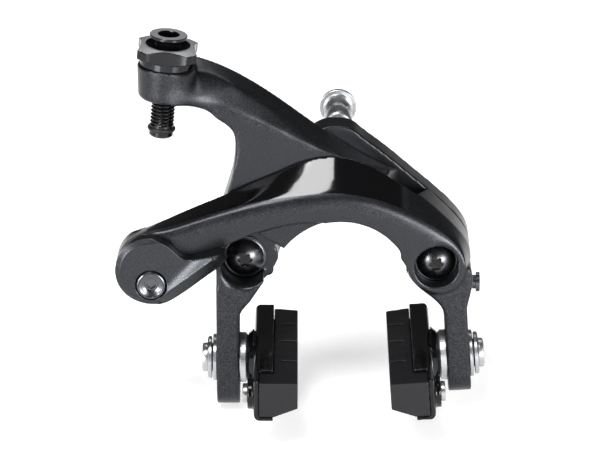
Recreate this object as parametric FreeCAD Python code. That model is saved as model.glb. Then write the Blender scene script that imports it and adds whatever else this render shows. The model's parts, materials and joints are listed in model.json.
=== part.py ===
"""Dual-pivot rim brake caliper for a road bicycle, front, long fork bolt.

Frame: the origin is on the fork bolt's axis, at the face of the serrated washer that meets the fork.
+Y points back through the fork, +X to the viewer's right from the front, +Z up. Sizes are millimetres.
"""
import FreeCAD
import Part
import math
import os

V = FreeCAD.Vector
X_AXIS, Y_AXIS, Z_AXIS = V(1, 0, 0), V(0, 1, 0), V(0, 0, 1)

# Layers, counted forwards from the fork
WASHER_THICKNESS = 3.0
BRACKET_BOSS_STAND = 1.0
BRACKET_THICKNESS = 8.0
PIVOT_SHIM = 0.5
HOUSING_ARM_THICKNESS = 9.5
ARM_GAP = 0.4
BLADE_THICKNESS = 8.6
BRACKET_REAR = -WASHER_THICKNESS - BRACKET_BOSS_STAND
BRACKET_FRONT = BRACKET_REAR - BRACKET_THICKNESS
HOUSING_REAR = BRACKET_FRONT - PIVOT_SHIM
HOUSING_FRONT = HOUSING_REAR - HOUSING_ARM_THICKNESS
BLADE_REAR = HOUSING_FRONT - ARM_GAP
BLADE_FRONT = BLADE_REAR - BLADE_THICKNESS

# Pivots
PIVOT_SPACING = 51.0
PIVOT_DROP = 17.2
PIVOT_SCREW_RADIUS = 3.5
PIVOT_THREAD_RADIUS = 3.0
PIVOT_THREAD_LENGTH = 7.0
PIVOT_HEAD_RADIUS = 5.3
PIVOT_HEAD_RIM = 0.9
PIVOT_HEAD_HEIGHT = 3.2
PIVOT_HEAD_WASHER = 0.8
PIVOT_RECESS_RADIUS = 2.4
PIVOT_RECESS_DEPTH = 2.0
PIVOT_SHIM_RADIUS = 6.6
PIVOT_BOSS_RADIUS = 8.3
BUSH_WALL = 1.0
RUNNING_CLEARANCE = 0.04
LEFT_POCKET_RADIUS = 6.2
RIGHT_POCKET_RADIUS = 5.8
RIGHT_HEAD_SINK = 2.0

# Arch over the tyre, under the arms and under the bracket
ARCH_RADIUS = 19.0
ARCH_TOP = -4.3
FLANGE_ARCH_RADIUS = 18.6
BRACKET_ARCH_RADIUS = 18.1
BRACKET_ARCH_TOP = -9.4

# Fork bolt, sleeve nut, serrated washer and bracket
BOLT_RADIUS = 3.0
BOLT_END = 42.0
BOLT_HEAD_RADIUS = 5.5
BOLT_HEAD_DEPTH = 3.0
SERRATED_WASHER_RADIUS = 8.4
SERRATIONS = 24
SERRATION_DEPTH = 0.6
SLEEVE_START = 32.5
SLEEVE_LENGTH = 16.5
SLEEVE_RADIUS = 4.0
SLEEVE_FLANGE_RADIUS = 5.25
SLEEVE_FLANGE_THICKNESS = 1.6
SLEEVE_HEX = 5.0
SLEEVE_HEX_DEPTH = 5.0
BRACKET_BOSS_RADIUS = 8.4
BRACKET_PIVOT_RADIUS = 7.4

# Legs and brake shoe bolts
LEG_CENTRE_Y = -23.6
LEG_WIDTH = 13.0
LEG_THICKNESS = 6.2
LEFT_LEG_X = -30.1
LEFT_SHOE_Z = -46.2
LEFT_LEG_END = -59.2
RIGHT_LEG_X = 31.8
RIGHT_SHOE_Z = -45.2
RIGHT_LEG_END = -55.4
RIGHT_LEG_LEAN = 3.9
SHOE_PITCH = 1.0
SLOT_WIDTH = 6.4
SLOT_ROOM_UP = 4.0
SLOT_ROOM_DOWN = 5.0

# Brake shoes, measured from the middle of the leg towards the rim
PAD_LENGTH = 54.0
PAD_REAR = 23.9
RUBBER_HEIGHT = 9.6
RUBBER_SETBACK = 0.6
RUBBER_SLANT = 1.4
RUBBER_THICKNESS = 6.5
RUBBER_NOSE = 7.2
RUBBER_NOSE_WIDTH = 10.2
RUBBER_TONGUE = 2.6
RUBBER_TONGUE_HEIGHT = 5.2
RUBBER_CHAMFER = 2.5
GROOVE_WIDTH = 1.0
GROOVE_DEPTH = 4.5
GROOVE_PLACES = (11.6, -0.4, -14.4)
HOLDER_HEIGHT = 11.4
HOLDER_THICKNESS = 5.2
HOLDER_BACK = 7.0
HOLDER_BOSS_HEIGHT = 1.9
HOLDER_BOSS_RADIUS = 6.3
RETAINER_FROM_END = 5.2
RETAINER_Y = PAD_REAR - PAD_LENGTH + RETAINER_FROM_END
RETAINER_RADIUS = 2.65
RETAINER_HEAD = 1.2
RETAINER_BOSS_RADIUS = 4.2
RETAINER_BOSS_HEIGHT = 1.6
RETAINER_SHANK = 1.25
DOME_RIM = 1.7
DOME_RADIUS = 6.8
DOME_BORE = 3.05
OUTER_RIM = 1.0
OUTER_RIM_RADIUS = 6.3
OUTER_BUMP_RADIUS = 4.0
CUP_RADIUS = 5.7
CUP_GAP = 0.32
CUP_THICKNESS = 1.15
SHOE_BOLT_RADIUS = 2.5
SHOE_BOLT_HEAD = 3.9
SHOE_BOLT_HEAD_HEIGHT = 1.5
SHOE_BOLT_HEX = 4.0
BALL_CLEARANCE = 0.05

# Cable housing adjuster, along its own axis from the middle of the arm's boss
ADJUSTER_X = -46.38
ADJUSTER_Y = -19.0
ADJUSTER_Z = 31.1
ADJUSTER_TILT = 5.0
ADJUSTER_BOSS_TOP = 7.7
ADJUSTER_BOSS_FOOT = 6.9
ADJUSTER_BOSS_HEIGHT = 9.2
ADJUSTER_CLEARANCE = 0.15
SCREW_RADIUS = 3.2
SCREW_BOTTOM = -15.2
O_RING_PLACE = -13.1
O_RING_WIRE = 0.65
O_RING_GROOVE = 0.78
HOUSING_BORE = 2.75
HOUSING_BORE_DEPTH = 9.0
CABLE_BORE = 1.1
RING_RADIUS = 5.0
RING_THICKNESS = 0.9
RING_TOP = 13.1
NECK_RADIUS = 3.5
NUT_COLLAR_RADIUS = 7.0
NUT_COLLAR_HEIGHT = 2.0
NUT_WIDTH = 15.7
NUT_HEIGHT = 3.8
NUT_SCALLOP_DEPTH = 0.8
NUT_CORNER = 3.7
NUT_CHAMFER = 1.0
NUT_FLAT_RADIUS = 7.1
NUT_OPENING = 5.9

# Quick release and cable anchor
RELEASE_X = -50.5
RELEASE_Z = -17.0
ARM_END_RADIUS = 9.3
ARM_END_DRAFT = 0.4
CAP_RADIUS = 9.3
LEVER_THICKNESS = 3.3
LEVER_GAP = 0.3
LEVER_TIP_REACH = 20.4
LEVER_FLARE = 2.6
LEVER_FLARE_RADIUS = 12.0
LEVER_BEVEL = 1.7
HUB_RADIUS = 7.3
HUB_END = -20.4
RETAINING_RING_WIDTH = 1.0
ANCHOR_OFFSET = 3.8
ANCHOR_RADIUS = 2.5
ANCHOR_HEAD_RADIUS = 3.8
ANCHOR_HEAD_HEIGHT = 2.4
ANCHOR_HEX = 2.5
CLAMP_WASHER_RADIUS = 5.2
CLAMP_WASHER_THICKNESS = 1.6
CABLE_RADIUS = 0.8
ANCHOR_NUT_WIDTH = 8.0
ANCHOR_NUT_HEIGHT = 4.0

# Roller that keeps the two arms in step, return spring and centring screw
ROLLER_X = 0.0
ROLLER_Z = 2.5
ROLLER_RADIUS = 2.6
ROLLER_LENGTH = 7.5
SYNC_PIN_RADIUS = 1.5
SYNC_PIN_BITE = 5.5
ARM_TRAVEL = 9.0
SPRING_WIRE = 0.9
SPRING_PLANE = -2.5
SPRING_POST_RADIUS = 1.4
SPRING_GUIDE_RADIUS = 2.9
SPRING_GUIDE_GROOVE = 0.9
SPRING_GUIDE_CAP = 5.0
SPRING_CAP_RADIUS = 1.9
SPRING_POST_END = -4.9
SPRING_POST_IN = 5.9
SPRING_POST_DOWN = 7.4
SPRING_EAR_THICKNESS = 2.0
CENTRING_SCREW_Y = -20.0
CENTRING_SCREW_Z = -25.7
CENTRING_HEAD_RADIUS = 2.65
CENTRING_HEAD_HEIGHT = 1.0
CENTRING_COLLAR_RADIUS = 1.9
CENTRING_COLLAR_HEIGHT = 1.0
CENTRING_SHANK = 1.5
CENTRING_LENGTH = 7.0

LEFT = (-PIVOT_SPACING / 2, -PIVOT_DROP)
RIGHT = (PIVOT_SPACING / 2, -PIVOT_DROP)
RELEASE = (RELEASE_X, RELEASE_Z)
ARCH_CENTRE = (0.0, ARCH_TOP - ARCH_RADIUS)
BRACKET_ARCH_CENTRE = (0.0, BRACKET_ARCH_TOP - BRACKET_ARCH_RADIUS)


def flat(x, z, y=0.0):
    """A point from its place across and up, at depth y."""
    return V(x, y, z)


def near(centre, dx, dz):
    """A point (x, z) set off from a pivot."""
    return (centre[0] + dx, centre[1] + dz)


def on_circle(centre, radius, degrees):
    """A point (x, z) on a circle about (x, z)."""
    turn = math.radians(degrees)
    return (centre[0] + radius * math.cos(turn), centre[1] + radius * math.sin(turn))


def joined(first, *rest):
    """One solid from pieces that are one casting."""
    return first.fuse(list(rest)).removeSplitter()


def rod(place, radius, start, end):
    """A cylinder along Y at (x, z) between two depths."""
    low, high = min(start, end), max(start, end)
    return Part.makeCylinder(radius, high - low, V(place[0], low, place[1]), Y_AXIS)


def outline(steps, y=0.0):
    """A closed wire in a plane of constant depth.

    The first step is the start point. Each later step is a point for a straight run, a tuple of
    two points for an arc through the first to the second, or a list of points for a smooth curve.
    """
    edges = []
    here = steps[0]
    for step in steps[1:] + [steps[0]]:
        if isinstance(step, list):
            curve = Part.BSplineCurve()
            curve.interpolate([flat(*p, y) for p in [here] + step])
            edges.append(curve.toShape())
            here = step[-1]
        elif isinstance(step[0], tuple):
            edges.append(Part.Arc(flat(*here, y), flat(*step[0], y), flat(*step[1], y)).toShape())
            here = step[1]
        elif math.dist(here, step) > 1e-6:
            edges.append(Part.makeLine(flat(*here, y), flat(*step, y)))
            here = step
    return Part.Wire(edges)


def slab(steps, front, rear):
    """An outline given depth from front to rear."""
    return Part.Face(outline(steps, front)).extrude(V(0, rear - front, 0))


def between(*sections):
    """A solid ruled between outlines, each given as (depth, steps)."""
    return Part.makeLoft([outline(steps, y) for y, steps in sections], True, True)


def hexagon(width, origin, run):
    """A six-sided prism along run, width across flats."""
    turn = FreeCAD.Rotation(Z_AXIS, run)
    points = [origin + turn.multVec(V(*on_circle((0, 0), width / math.sqrt(3), 60 * i), 0)) for i in range(7)]
    return Part.Face(Part.makePolygon(points)).extrude(run)


def turned(profile):
    """A solid of revolution about Z. A step is (radius, height), or a pair of them for an arc."""
    edges = []
    here = profile[0]
    for step in profile[1:] + [profile[0]]:
        if isinstance(step[0], tuple):
            edges.append(Part.Arc(V(here[0], 0, here[1]), V(step[0][0], 0, step[0][1]),
                                  V(step[1][0], 0, step[1][1])).toShape())
            here = step[1]
        elif math.dist(here, step) > 1e-6:
            edges.append(Part.makeLine(V(here[0], 0, here[1]), V(step[0], 0, step[1])))
            here = step
    return Part.Face(Part.Wire(edges)).revolve(V(0, 0, 0), Z_AXIS, 360)


def placed(shape, point, axis):
    """A shape built along Z, set along an axis from a point."""
    done = shape.copy()
    done.Placement = FreeCAD.Placement(point, FreeCAD.Rotation(Z_AXIS, axis)).multiply(done.Placement)
    return done


def arc_slot(start, middle, end, half_width, front, rear):
    """A curved slot for a round thing that moves along an arc."""
    circle = Part.Arc(flat(*start), flat(*middle), flat(*end)).toShape().Curve
    centre = (circle.Center.x, circle.Center.z)

    def offset(point, amount):
        away = (point[0] - centre[0], point[1] - centre[1])
        grow = 1 + amount / math.hypot(*away)
        return (centre[0] + away[0] * grow, centre[1] + away[1] * grow)

    def beyond(point, other):
        run = (point[0] - other[0], point[1] - other[1])
        size = half_width / math.hypot(*run)
        return (point[0] + run[0] * size, point[1] + run[1] * size)

    steps = [offset(start, half_width), (offset(middle, half_width), offset(end, half_width)),
             (beyond(end, middle), offset(end, -half_width)),
             (offset(middle, -half_width), offset(start, -half_width)),
             (beyond(start, middle), offset(start, half_width))]
    return slab(steps, front, rear)


# The right shoulder of the anchor arm and the bracket share one top line, from the pocket down
SHOULDER_TOP = near(RIGHT, -5.1, 17.9)
SHOULDER_LINE = [near(RIGHT, -2.0, 15.3), near(RIGHT, 2.2, 11.5), near(RIGHT, 5.4, 8.2),
                 near(RIGHT, 8.1, 4.5), near(RIGHT, 9.4, -1.4)]

# The blade's lower line, its ridge in front and its top edge behind, from the arm's end to the shoulder
BLADE_UNDER = [(-9.2, -4.5), (-13.4, -5.0), (-19.5, -6.5), (-23.5, -7.8), (-29.6, -10.6), (-33.6, -12.4),
               (-38.6, -14.2)]
BLADE_RIDGE = [(-47.0, -6.6), (-40.2, -4.7), (-33.5, -2.7), (-26.8, -0.9), (-20.1, 0.5), (-11.5, 1.7),
               (-1.6, 2.4), (4.0, 1.8), (9.8, 0.6), (15.6, -1.4)]
BLADE_TOP = [(-45.2, -5.9), (-35.4, -1.4), (-30.6, 0.7), (-24.3, 3.7), (-17.7, 6.6), (-11.5, 9.5),
             (-5.7, 11.2), (-1.6, 11.6), (4.0, 10.5), (11.0, 7.0), (15.7, 3.9)]

# The housing arm: its hollow left side, the bar's top at three depths and the neck to the adjuster's boss
HOUSING_SIDE = [(-28.9, 5.0), (-28.2, 9.3), (-28.0, 13.5), (-28.6, 17.5), (-30.5, 19.6), (-33.9, 22.2),
                (-36.8, 24.2), (-39.5, 24.9)]
BAR_START = (-35.2, 35.0)
BAR_FALL = 0.615
BAR_END = 12.2
BAR_CREST = [(-39.5, 35.7), (-37.3, 35.7)]
BAR_MIDDLE = [(-39.5, 34.2), (-37.4, 33.6), (-31.4, 31.6), (-25.6, 28.3), (-13.0, 19.6)]
BAR_FRONT = [(-39.5, 29.4), (-37.4, 27.6), (-34.4, 26.1), (-25.5, 22.4), (-10.0, 15.6)]
NECK_OUTER = [(-45.5, -26.4, 26.9), (-45.5, -26.4, 35.4), (-45.5, -12.6, 35.4), (-45.5, -12.6, 26.9)]
NECK_INNER_X = -34.0
NECK_INNER_FRONT = (23.0, 25.9)
NECK_INNER_REAR = (22.4, 33.8)

# The bracket's top, from the shoulder over the fork bolt's boss to the left
BRACKET_TOP = [(20.6, 0.6), (15.6, 5.0), (9.9, 9.7), (5.7, 13.0)]
BRACKET_CROWN = [(3.2, 15.0), (-0.7, 15.8), (-3.7, 15.6), (-6.6, 14.4)]
BRACKET_SADDLE = (-10.8, 10.6)


def left_of(points):
    """The same points on the other side of the middle."""
    return [(-x, z) for x, z in points]


# Anchor arm
def anchor_blade():
    """The front blade: a ruled body from its ridge at the front to its top edge behind."""
    arch_left = on_circle(ARCH_CENTRE, ARCH_RADIUS, 102)
    arch_right = on_circle(ARCH_CENTRE, ARCH_RADIUS, 34)

    def under(radius, top_angle):
        return [arch_left, BLADE_UNDER,
                [near(RELEASE, 9.8, 1.0), on_circle(RELEASE, radius, -25)],
                (on_circle(RELEASE, radius, -130), on_circle(RELEASE, radius, top_angle))]

    side = [[near(RIGHT, -4.8, -5.2), near(RIGHT, -6.7, -3.0), near(RIGHT, -8.4, 0.8), near(RIGHT, -9.6, 3.6),
             arch_right],
            (on_circle(ARCH_CENTRE, ARCH_RADIUS, 70), arch_left)]
    front = under(ARM_END_RADIUS, 128) + [
        [near(RELEASE, -2.3, 9.5)] + BLADE_RIDGE[:7], BLADE_RIDGE[7:] + [near(RIGHT, -6.4, 14.2)],
        [near(RIGHT, -3.5, 12.8), near(RIGHT, 2.1, 9.4), near(RIGHT, 5.5, 6.2), near(RIGHT, 7.4, 2.2),
         near(RIGHT, 7.7, -1.4)],
        [near(RIGHT, 5.4, -5.6), near(RIGHT, 0.4, -7.6)]] + side
    rear = under(ARM_END_RADIUS - ARM_END_DRAFT, 122) + [
        [near(RELEASE, 0.0, 8.7)] + BLADE_TOP[:8], BLADE_TOP[8:] + [SHOULDER_TOP], SHOULDER_LINE,
        [near(RIGHT, 8.0, -6.4), near(RIGHT, 0.4, -8.2)]] + side
    return between((BLADE_FRONT, front), (BLADE_REAR, rear))


def anchor_arm():
    """The front arm: cable anchor at its left end, right pivot, right leg."""
    corner = on_circle(ARCH_CENTRE, FLANGE_ARCH_RADIUS, 144)
    start = on_circle(ARCH_CENTRE, ARCH_RADIUS, 98)
    flange = slab([start, (-11.0, 0.0), near(LEFT, 1.5, 11.0), near(LEFT, 3.1, 9.4), corner,
                   (on_circle(ARCH_CENTRE, FLANGE_ARCH_RADIUS, 122), start)],
                  BLADE_FRONT + 1.2, BLADE_REAR)
    inside = [near(RIGHT, -8.2, -1.0), near(RIGHT, -7.4, 4.0)]
    pocket_wall = 3.1
    shoulder = between(
        (BLADE_REAR, [SHOULDER_TOP, SHOULDER_LINE, [near(RIGHT, 9.2, -5.4), near(RIGHT, 5.0, -9.6)],
                      (near(RIGHT, -6.0, -7.2), inside[0]), inside[1]]),
        (HOUSING_REAR, [near(SHOULDER_TOP, pocket_wall, -2.2),
                        [near(SHOULDER_TOP, pocket_wall + 0.5, -2.7)] + SHOULDER_LINE[1:],
                        [near(RIGHT, 9.2, -5.4), near(RIGHT, 5.0, -9.6)],
                        (near(RIGHT, -6.0, -7.2), near(inside[0], 0.6, 0.4)),
                        near(inside[1], pocket_wall, 0)]))
    lean = math.radians(RIGHT_LEG_LEAN)
    half = LEG_THICKNESS / 2

    def beside(side, z):
        return (RIGHT_LEG_X + side * half / math.cos(lean) - (z - RIGHT_SHOE_Z) * math.tan(lean), z)

    leg_front, leg_rear = LEG_CENTRE_Y - LEG_WIDTH / 2, LEG_CENTRE_Y + LEG_WIDTH / 2
    foot = RIGHT_LEG_END - LEG_WIDTH
    leg = slab([near(RIGHT, -7.6, -2.2),
                [near(RIGHT, -6.1, -4.7), near(RIGHT, -3.5, -7.2), near(RIGHT, -0.2, -9.9),
                 near(RIGHT, 1.5, -12.0), beside(-1, -31.2)],
                beside(-1, -33.0), beside(-1, foot), beside(1, foot), beside(1, -33.0), beside(1, -29.4),
                [near(RIGHT, 9.0, -9.1), near(RIGHT, 9.6, -5.8), near(RIGHT, 9.2, -1.0)],
                near(RIGHT, 4.0, 2.0)], leg_front, leg_rear)
    down = V(math.sin(lean), 0, -math.cos(lean))
    inward = V(-math.cos(lean), 0, -math.sin(lean))
    shoe = V(RIGHT_LEG_X, LEG_CENTRE_Y, RIGHT_SHOE_Z)
    leg = leg.cut(foot_cutter(shoe, down, inward, (RIGHT_SHOE_Z - RIGHT_LEG_END) / math.cos(lean)))
    body = joined(anchor_blade(), flange, shoulder, leg, spring_ear(RIGHT, 1))
    body = body.cut(slot_cutter(shoe, down, inward))
    head_floor = BLADE_FRONT + RIGHT_HEAD_SINK + PIVOT_HEAD_HEIGHT + PIVOT_HEAD_WASHER
    holes = [rod(RIGHT, PIVOT_SCREW_RADIUS + BUSH_WALL, BLADE_FRONT - 1, 0),
             rod(RIGHT, RIGHT_POCKET_RADIUS, BLADE_FRONT - 1, head_floor),
             rod(RELEASE, HUB_RADIUS + RUNNING_CLEARANCE, BLADE_FRONT - 1, BLADE_REAR + 1),
             rod((ROLLER_X, ROLLER_Z), SYNC_PIN_RADIUS, BLADE_REAR + 1, BLADE_REAR - SYNC_PIN_BITE),
             centring_shank(CENTRING_SHANK + RUNNING_CLEARANCE)]
    return body.cut(Part.makeCompound(holes))


def foot_cutter(shoe, down, inward, reach):
    """What is cut from a leg's end to leave it round about the slot's lower end."""
    half = LEG_WIDTH / 2
    centre = shoe + down * (reach - half)
    square = Part.makeBox(4 * half, 2 * half, 6 * half, V(-2 * half, -half, -6 * half))
    ring = square.cut(Part.makeCylinder(half, 4 * half, V(-2 * half, 0, 0), X_AXIS))
    turn = FreeCAD.Rotation(inward, inward.cross(down) * -1, down * -1, "ZXY")
    ring.Placement = FreeCAD.Placement(centre, turn)
    return ring


def slot_cutter(shoe, down, inward):
    """The slot that the shoe bolt slides in."""
    half = SLOT_WIDTH / 2
    top, bottom = shoe - down * SLOT_ROOM_UP, shoe + down * SLOT_ROOM_DOWN
    ends = [Part.makeCylinder(half, 20, point - inward * 10, inward) for point in (top, bottom)]
    side = Y_AXIS * half
    corners = [top + side, bottom + side, bottom - side, top - side, top + side]
    middle = Part.Face(Part.makePolygon([c - inward * 10 for c in corners])).extrude(inward * 20)
    return middle.fuse(ends)


def spring_ear(pivot, side):
    """The ear and post behind an arm that hold a spring guide. side is 1 on the right, -1 on the left."""
    post = near(pivot, -side * SPRING_POST_IN, -SPRING_POST_DOWN)
    reach = SPRING_POST_RADIUS + 0.3
    ear = slab([near(pivot, -side * 7.0, -1.0), near(post, -side * reach, 0),
                (near(post, 0, -reach), near(post, side * reach * 0.7, -reach * 0.7)),
                near(pivot, side * 0.5, -7.6)], HOUSING_REAR - SPRING_EAR_THICKNESS, HOUSING_REAR)
    return ear.fuse(rod(post, SPRING_POST_RADIUS, HOUSING_REAR - 1, SPRING_POST_END))


def centring_shank(radius):
    """The centring screw's thread, across the right leg."""
    start = RIGHT[0] + 10.0 - CENTRING_LENGTH
    return Part.makeCylinder(radius, CENTRING_LENGTH, V(start, CENTRING_SCREW_Y, CENTRING_SCREW_Z), X_AXIS)


# Housing arm
def bar_top(x):
    """Height of the housing arm's straight rear edge, which falls from the adjuster to the pocket."""
    return BAR_START[1] - BAR_FALL * (x - BAR_START[0])


def housing_arm():
    """The rear arm: adjuster boss at its top left, left pivot, left leg."""
    tip = BAR_END
    under = [on_circle(ARCH_CENTRE, ARCH_RADIUS + 0.6, 154),
             [near(LEFT, 8.9, 0.0), near(LEFT, 7.9, -3.2), near(LEFT, 5.6, -6.4)],
             (near(LEFT, -2.0, -8.2), near(LEFT, -8.1, -2.0)),
             [near(LEFT, -7.3, 8.0), near(LEFT, -4.9, 17.0)] + HOUSING_SIDE]
    arch = (on_circle(ARCH_CENTRE, ARCH_RADIUS + 0.6, 100), under[0])
    last = tip + 3.4
    half_way = (BAR_START[0] + last) / 2
    rear = under + BAR_CREST + [[BAR_START, (half_way, bar_top(half_way)), (last, bar_top(last))],
                    (tip + 4.2, -5.0), on_circle(ARCH_CENTRE, ARCH_RADIUS + 0.6, 46), arch]
    middle = under + BAR_MIDDLE[:2] + [BAR_MIDDLE[2:] + [(tip + 1.0, 6.2)],
                      (tip + 2.0, -4.4), on_circle(ARCH_CENTRE, ARCH_RADIUS + 0.6, 50), arch]
    front = under + BAR_FRONT[:2] + [BAR_FRONT[2:] + [(tip, 5.7)],
                     (tip + 1.2, -4.0), on_circle(ARCH_CENTRE, ARCH_RADIUS + 0.6, 53), arch]
    plate = between((HOUSING_FRONT, front), (HOUSING_FRONT + 2.5, middle), (HOUSING_REAR, rear))
    half = LEG_THICKNESS / 2
    leg_front, leg_rear = LEG_CENTRE_Y - LEG_WIDTH / 2, LEG_CENTRE_Y + LEG_WIDTH / 2
    outer, inner = LEFT_LEG_X - half, LEFT_LEG_X + half
    foot = LEFT_LEG_END - LEG_WIDTH
    leg = slab([(outer, -15.6), near(LEFT, -6.8, 2.2), near(LEFT, -3.0, 0.0), near(LEFT, 2.6, -3.2),
                near(LEFT, 5.2, -4.3), [near(LEFT, 3.8, -7.0), near(LEFT, 1.8, -9.9), near(LEFT, -0.4, -12.4),
                                        (inner + 0.1, -31.4)],
                (inner, -34.0), (inner, foot), (outer, foot)], leg_front, leg_rear)
    shoe = V(LEFT_LEG_X, LEG_CENTRE_Y, LEFT_SHOE_Z)
    leg = leg.cut(foot_cutter(shoe, -Z_AXIS, X_AXIS, LEFT_SHOE_Z - LEFT_LEG_END))
    high = ADJUSTER_BOSS_HEIGHT / 2
    boss = adjuster_place(turned([(0, -high), (ADJUSTER_BOSS_FOOT - 0.8, -high),
                                  (ADJUSTER_BOSS_FOOT, 0.8 - high), (ADJUSTER_BOSS_TOP, high), (0, high)]))
    neck_inner = [V(NECK_INNER_X, HOUSING_FRONT, z) for z in NECK_INNER_FRONT]
    neck_inner += [V(NECK_INNER_X, HOUSING_REAR, z) for z in reversed(NECK_INNER_REAR)]
    neck_outer = [V(*point) for point in NECK_OUTER]
    neck = Part.makeLoft([Part.makePolygon(neck_outer + neck_outer[:1]),
                          Part.makePolygon(neck_inner + neck_inner[:1])], True, True)
    body = joined(plate, leg, boss, neck, spring_ear(LEFT, -1))
    body = body.cut(slot_cutter(shoe, -Z_AXIS, X_AXIS))
    screw_room = Part.makeCylinder(SCREW_RADIUS + ADJUSTER_CLEARANCE, 8 * high, V(0, 0, -4 * high))
    holes = [rod(LEFT, PIVOT_SCREW_RADIUS + BUSH_WALL, leg_front - 1, 0),
             rod(LEFT, LEFT_POCKET_RADIUS, leg_front - 1, HOUSING_FRONT),
             adjuster_place(screw_room), roller_track()]
    return body.cut(Part.makeCompound(holes))


def roller_track():
    """The slot in the housing arm that the roller runs in as both arms turn by the same angle."""
    def seen_from_arm(degrees):
        turn = math.radians(degrees)
        cos, sin = math.cos(turn), math.sin(turn)

        def turned_about(pivot, point):
            dx, dz = point[0] - pivot[0], point[1] - pivot[1]
            return (pivot[0] + dx * cos + dz * sin, pivot[1] - dx * sin + dz * cos)

        return turned_about(LEFT, turned_about(RIGHT, (ROLLER_X, ROLLER_Z)))

    return arc_slot(seen_from_arm(0), seen_from_arm(ARM_TRAVEL / 2), seen_from_arm(ARM_TRAVEL),
                    ROLLER_RADIUS + RUNNING_CLEARANCE, HOUSING_FRONT - 1, HOUSING_REAR + 1)


def adjuster_place(shape):
    """A shape built along the adjuster's own axis, set in the arm's boss."""
    lean = math.radians(ADJUSTER_TILT)
    return placed(shape, V(ADJUSTER_X, ADJUSTER_Y, ADJUSTER_Z), V(math.sin(lean), 0, math.cos(lean)))


# Bracket and fork bolt
def pivot_bracket():
    """The fixed bracket behind both arms, which holds the pivots and the fork bolt."""
    right_side = [SHOULDER_LINE[-1]] + SHOULDER_LINE[-2::-1]
    boss_end = on_circle(RIGHT, BRACKET_PIVOT_RADIUS, -20)
    boss_low = on_circle(RIGHT, BRACKET_PIVOT_RADIUS, -90)
    boss_in = on_circle(RIGHT, BRACKET_PIVOT_RADIUS, 170)
    arch_right = on_circle(BRACKET_ARCH_CENTRE, BRACKET_ARCH_RADIUS, 38)
    arch_left = on_circle(BRACKET_ARCH_CENTRE, BRACKET_ARCH_RADIUS, 142)
    steps = [boss_low, (on_circle(RIGHT, BRACKET_PIVOT_RADIUS, -55), boss_end), right_side[0],
             right_side[1:] + BRACKET_TOP + BRACKET_CROWN,
             [BRACKET_SADDLE] + left_of(BRACKET_TOP[-3::-1] + SHOULDER_LINE),
             left_of([boss_end])[0],
             (left_of([on_circle(RIGHT, BRACKET_PIVOT_RADIUS, -55)])[0], left_of([boss_low])[0]),
             (left_of([on_circle(RIGHT, BRACKET_PIVOT_RADIUS, 220)])[0], left_of([boss_in])[0]),
             arch_left, (on_circle(BRACKET_ARCH_CENTRE, BRACKET_ARCH_RADIUS, 90), arch_right),
             boss_in, (on_circle(RIGHT, BRACKET_PIVOT_RADIUS, 220), boss_low)]
    plate = slab(steps, BRACKET_FRONT, BRACKET_REAR)
    boss = rod((0, 0), BRACKET_BOSS_RADIUS, BRACKET_REAR, -WASHER_THICKNESS)
    holes = [rod((0, 0), BOLT_RADIUS, BRACKET_FRONT - 1, 0),
             rod((0, 0), BOLT_HEAD_RADIUS, BRACKET_FRONT - 1, BRACKET_FRONT + BOLT_HEAD_DEPTH),
             rod(LEFT, PIVOT_THREAD_RADIUS, BRACKET_FRONT - 1, BRACKET_REAR + 1),
             rod(RIGHT, PIVOT_THREAD_RADIUS, BRACKET_FRONT - 1, BRACKET_REAR + 1)]
    return joined(plate, boss).cut(Part.makeCompound(holes))


def mounting_bolt():
    """The fork bolt, held in the bracket by its flat head."""
    shank = rod((0, 0), BOLT_RADIUS, BRACKET_FRONT, BOLT_END)
    head = rod((0, 0), BOLT_HEAD_RADIUS, BRACKET_FRONT, BRACKET_FRONT + BOLT_HEAD_DEPTH)
    return joined(head, shank)


def serrated_washer():
    """The washer against the fork, with radial teeth on its rear face."""
    washer = rod((0, 0), SERRATED_WASHER_RADIUS, -WASHER_THICKNESS, 0).cut(rod((0, 0), BOLT_RADIUS, -10, 10))
    width = math.pi * SERRATED_WASHER_RADIUS / SERRATIONS / 2
    groove = Part.Face(Part.makePolygon([V(5.6, 0.01, -width), V(5.6, 0.01, width),
                                         V(5.6, -SERRATION_DEPTH, 0), V(5.6, 0.01, -width)]))
    groove = groove.extrude(V(4, 0, 0))
    grooves = []
    for i in range(SERRATIONS):
        one = groove.copy()
        one.rotate(V(0, 0, 0), Y_AXIS, 360 / SERRATIONS * (i + 0.5))
        grooves.append(one)
    return washer.cut(Part.makeCompound(grooves))


def sleeve_nut():
    """The long nut that reaches into the fork from behind."""
    end = SLEEVE_START + SLEEVE_LENGTH
    body = turned([(BOLT_RADIUS, 0), (SLEEVE_RADIUS - 0.5, 0), (SLEEVE_RADIUS, 0.6),
                   (SLEEVE_RADIUS, SLEEVE_LENGTH - SLEEVE_FLANGE_THICKNESS),
                   (SLEEVE_FLANGE_RADIUS, SLEEVE_LENGTH - SLEEVE_FLANGE_THICKNESS),
                   (SLEEVE_FLANGE_RADIUS, SLEEVE_LENGTH - 0.4), (SLEEVE_FLANGE_RADIUS - 0.4, SLEEVE_LENGTH),
                   (0, SLEEVE_LENGTH), (0, BOLT_END - SLEEVE_START + 0.4),
                   (BOLT_RADIUS, BOLT_END - SLEEVE_START + 0.4)])
    nut = placed(body, V(0, SLEEVE_START, 0), Y_AXIS)
    return nut.cut(hexagon(SLEEVE_HEX, V(0, end, 0), V(0, -SLEEVE_HEX_DEPTH, 0)))


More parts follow.
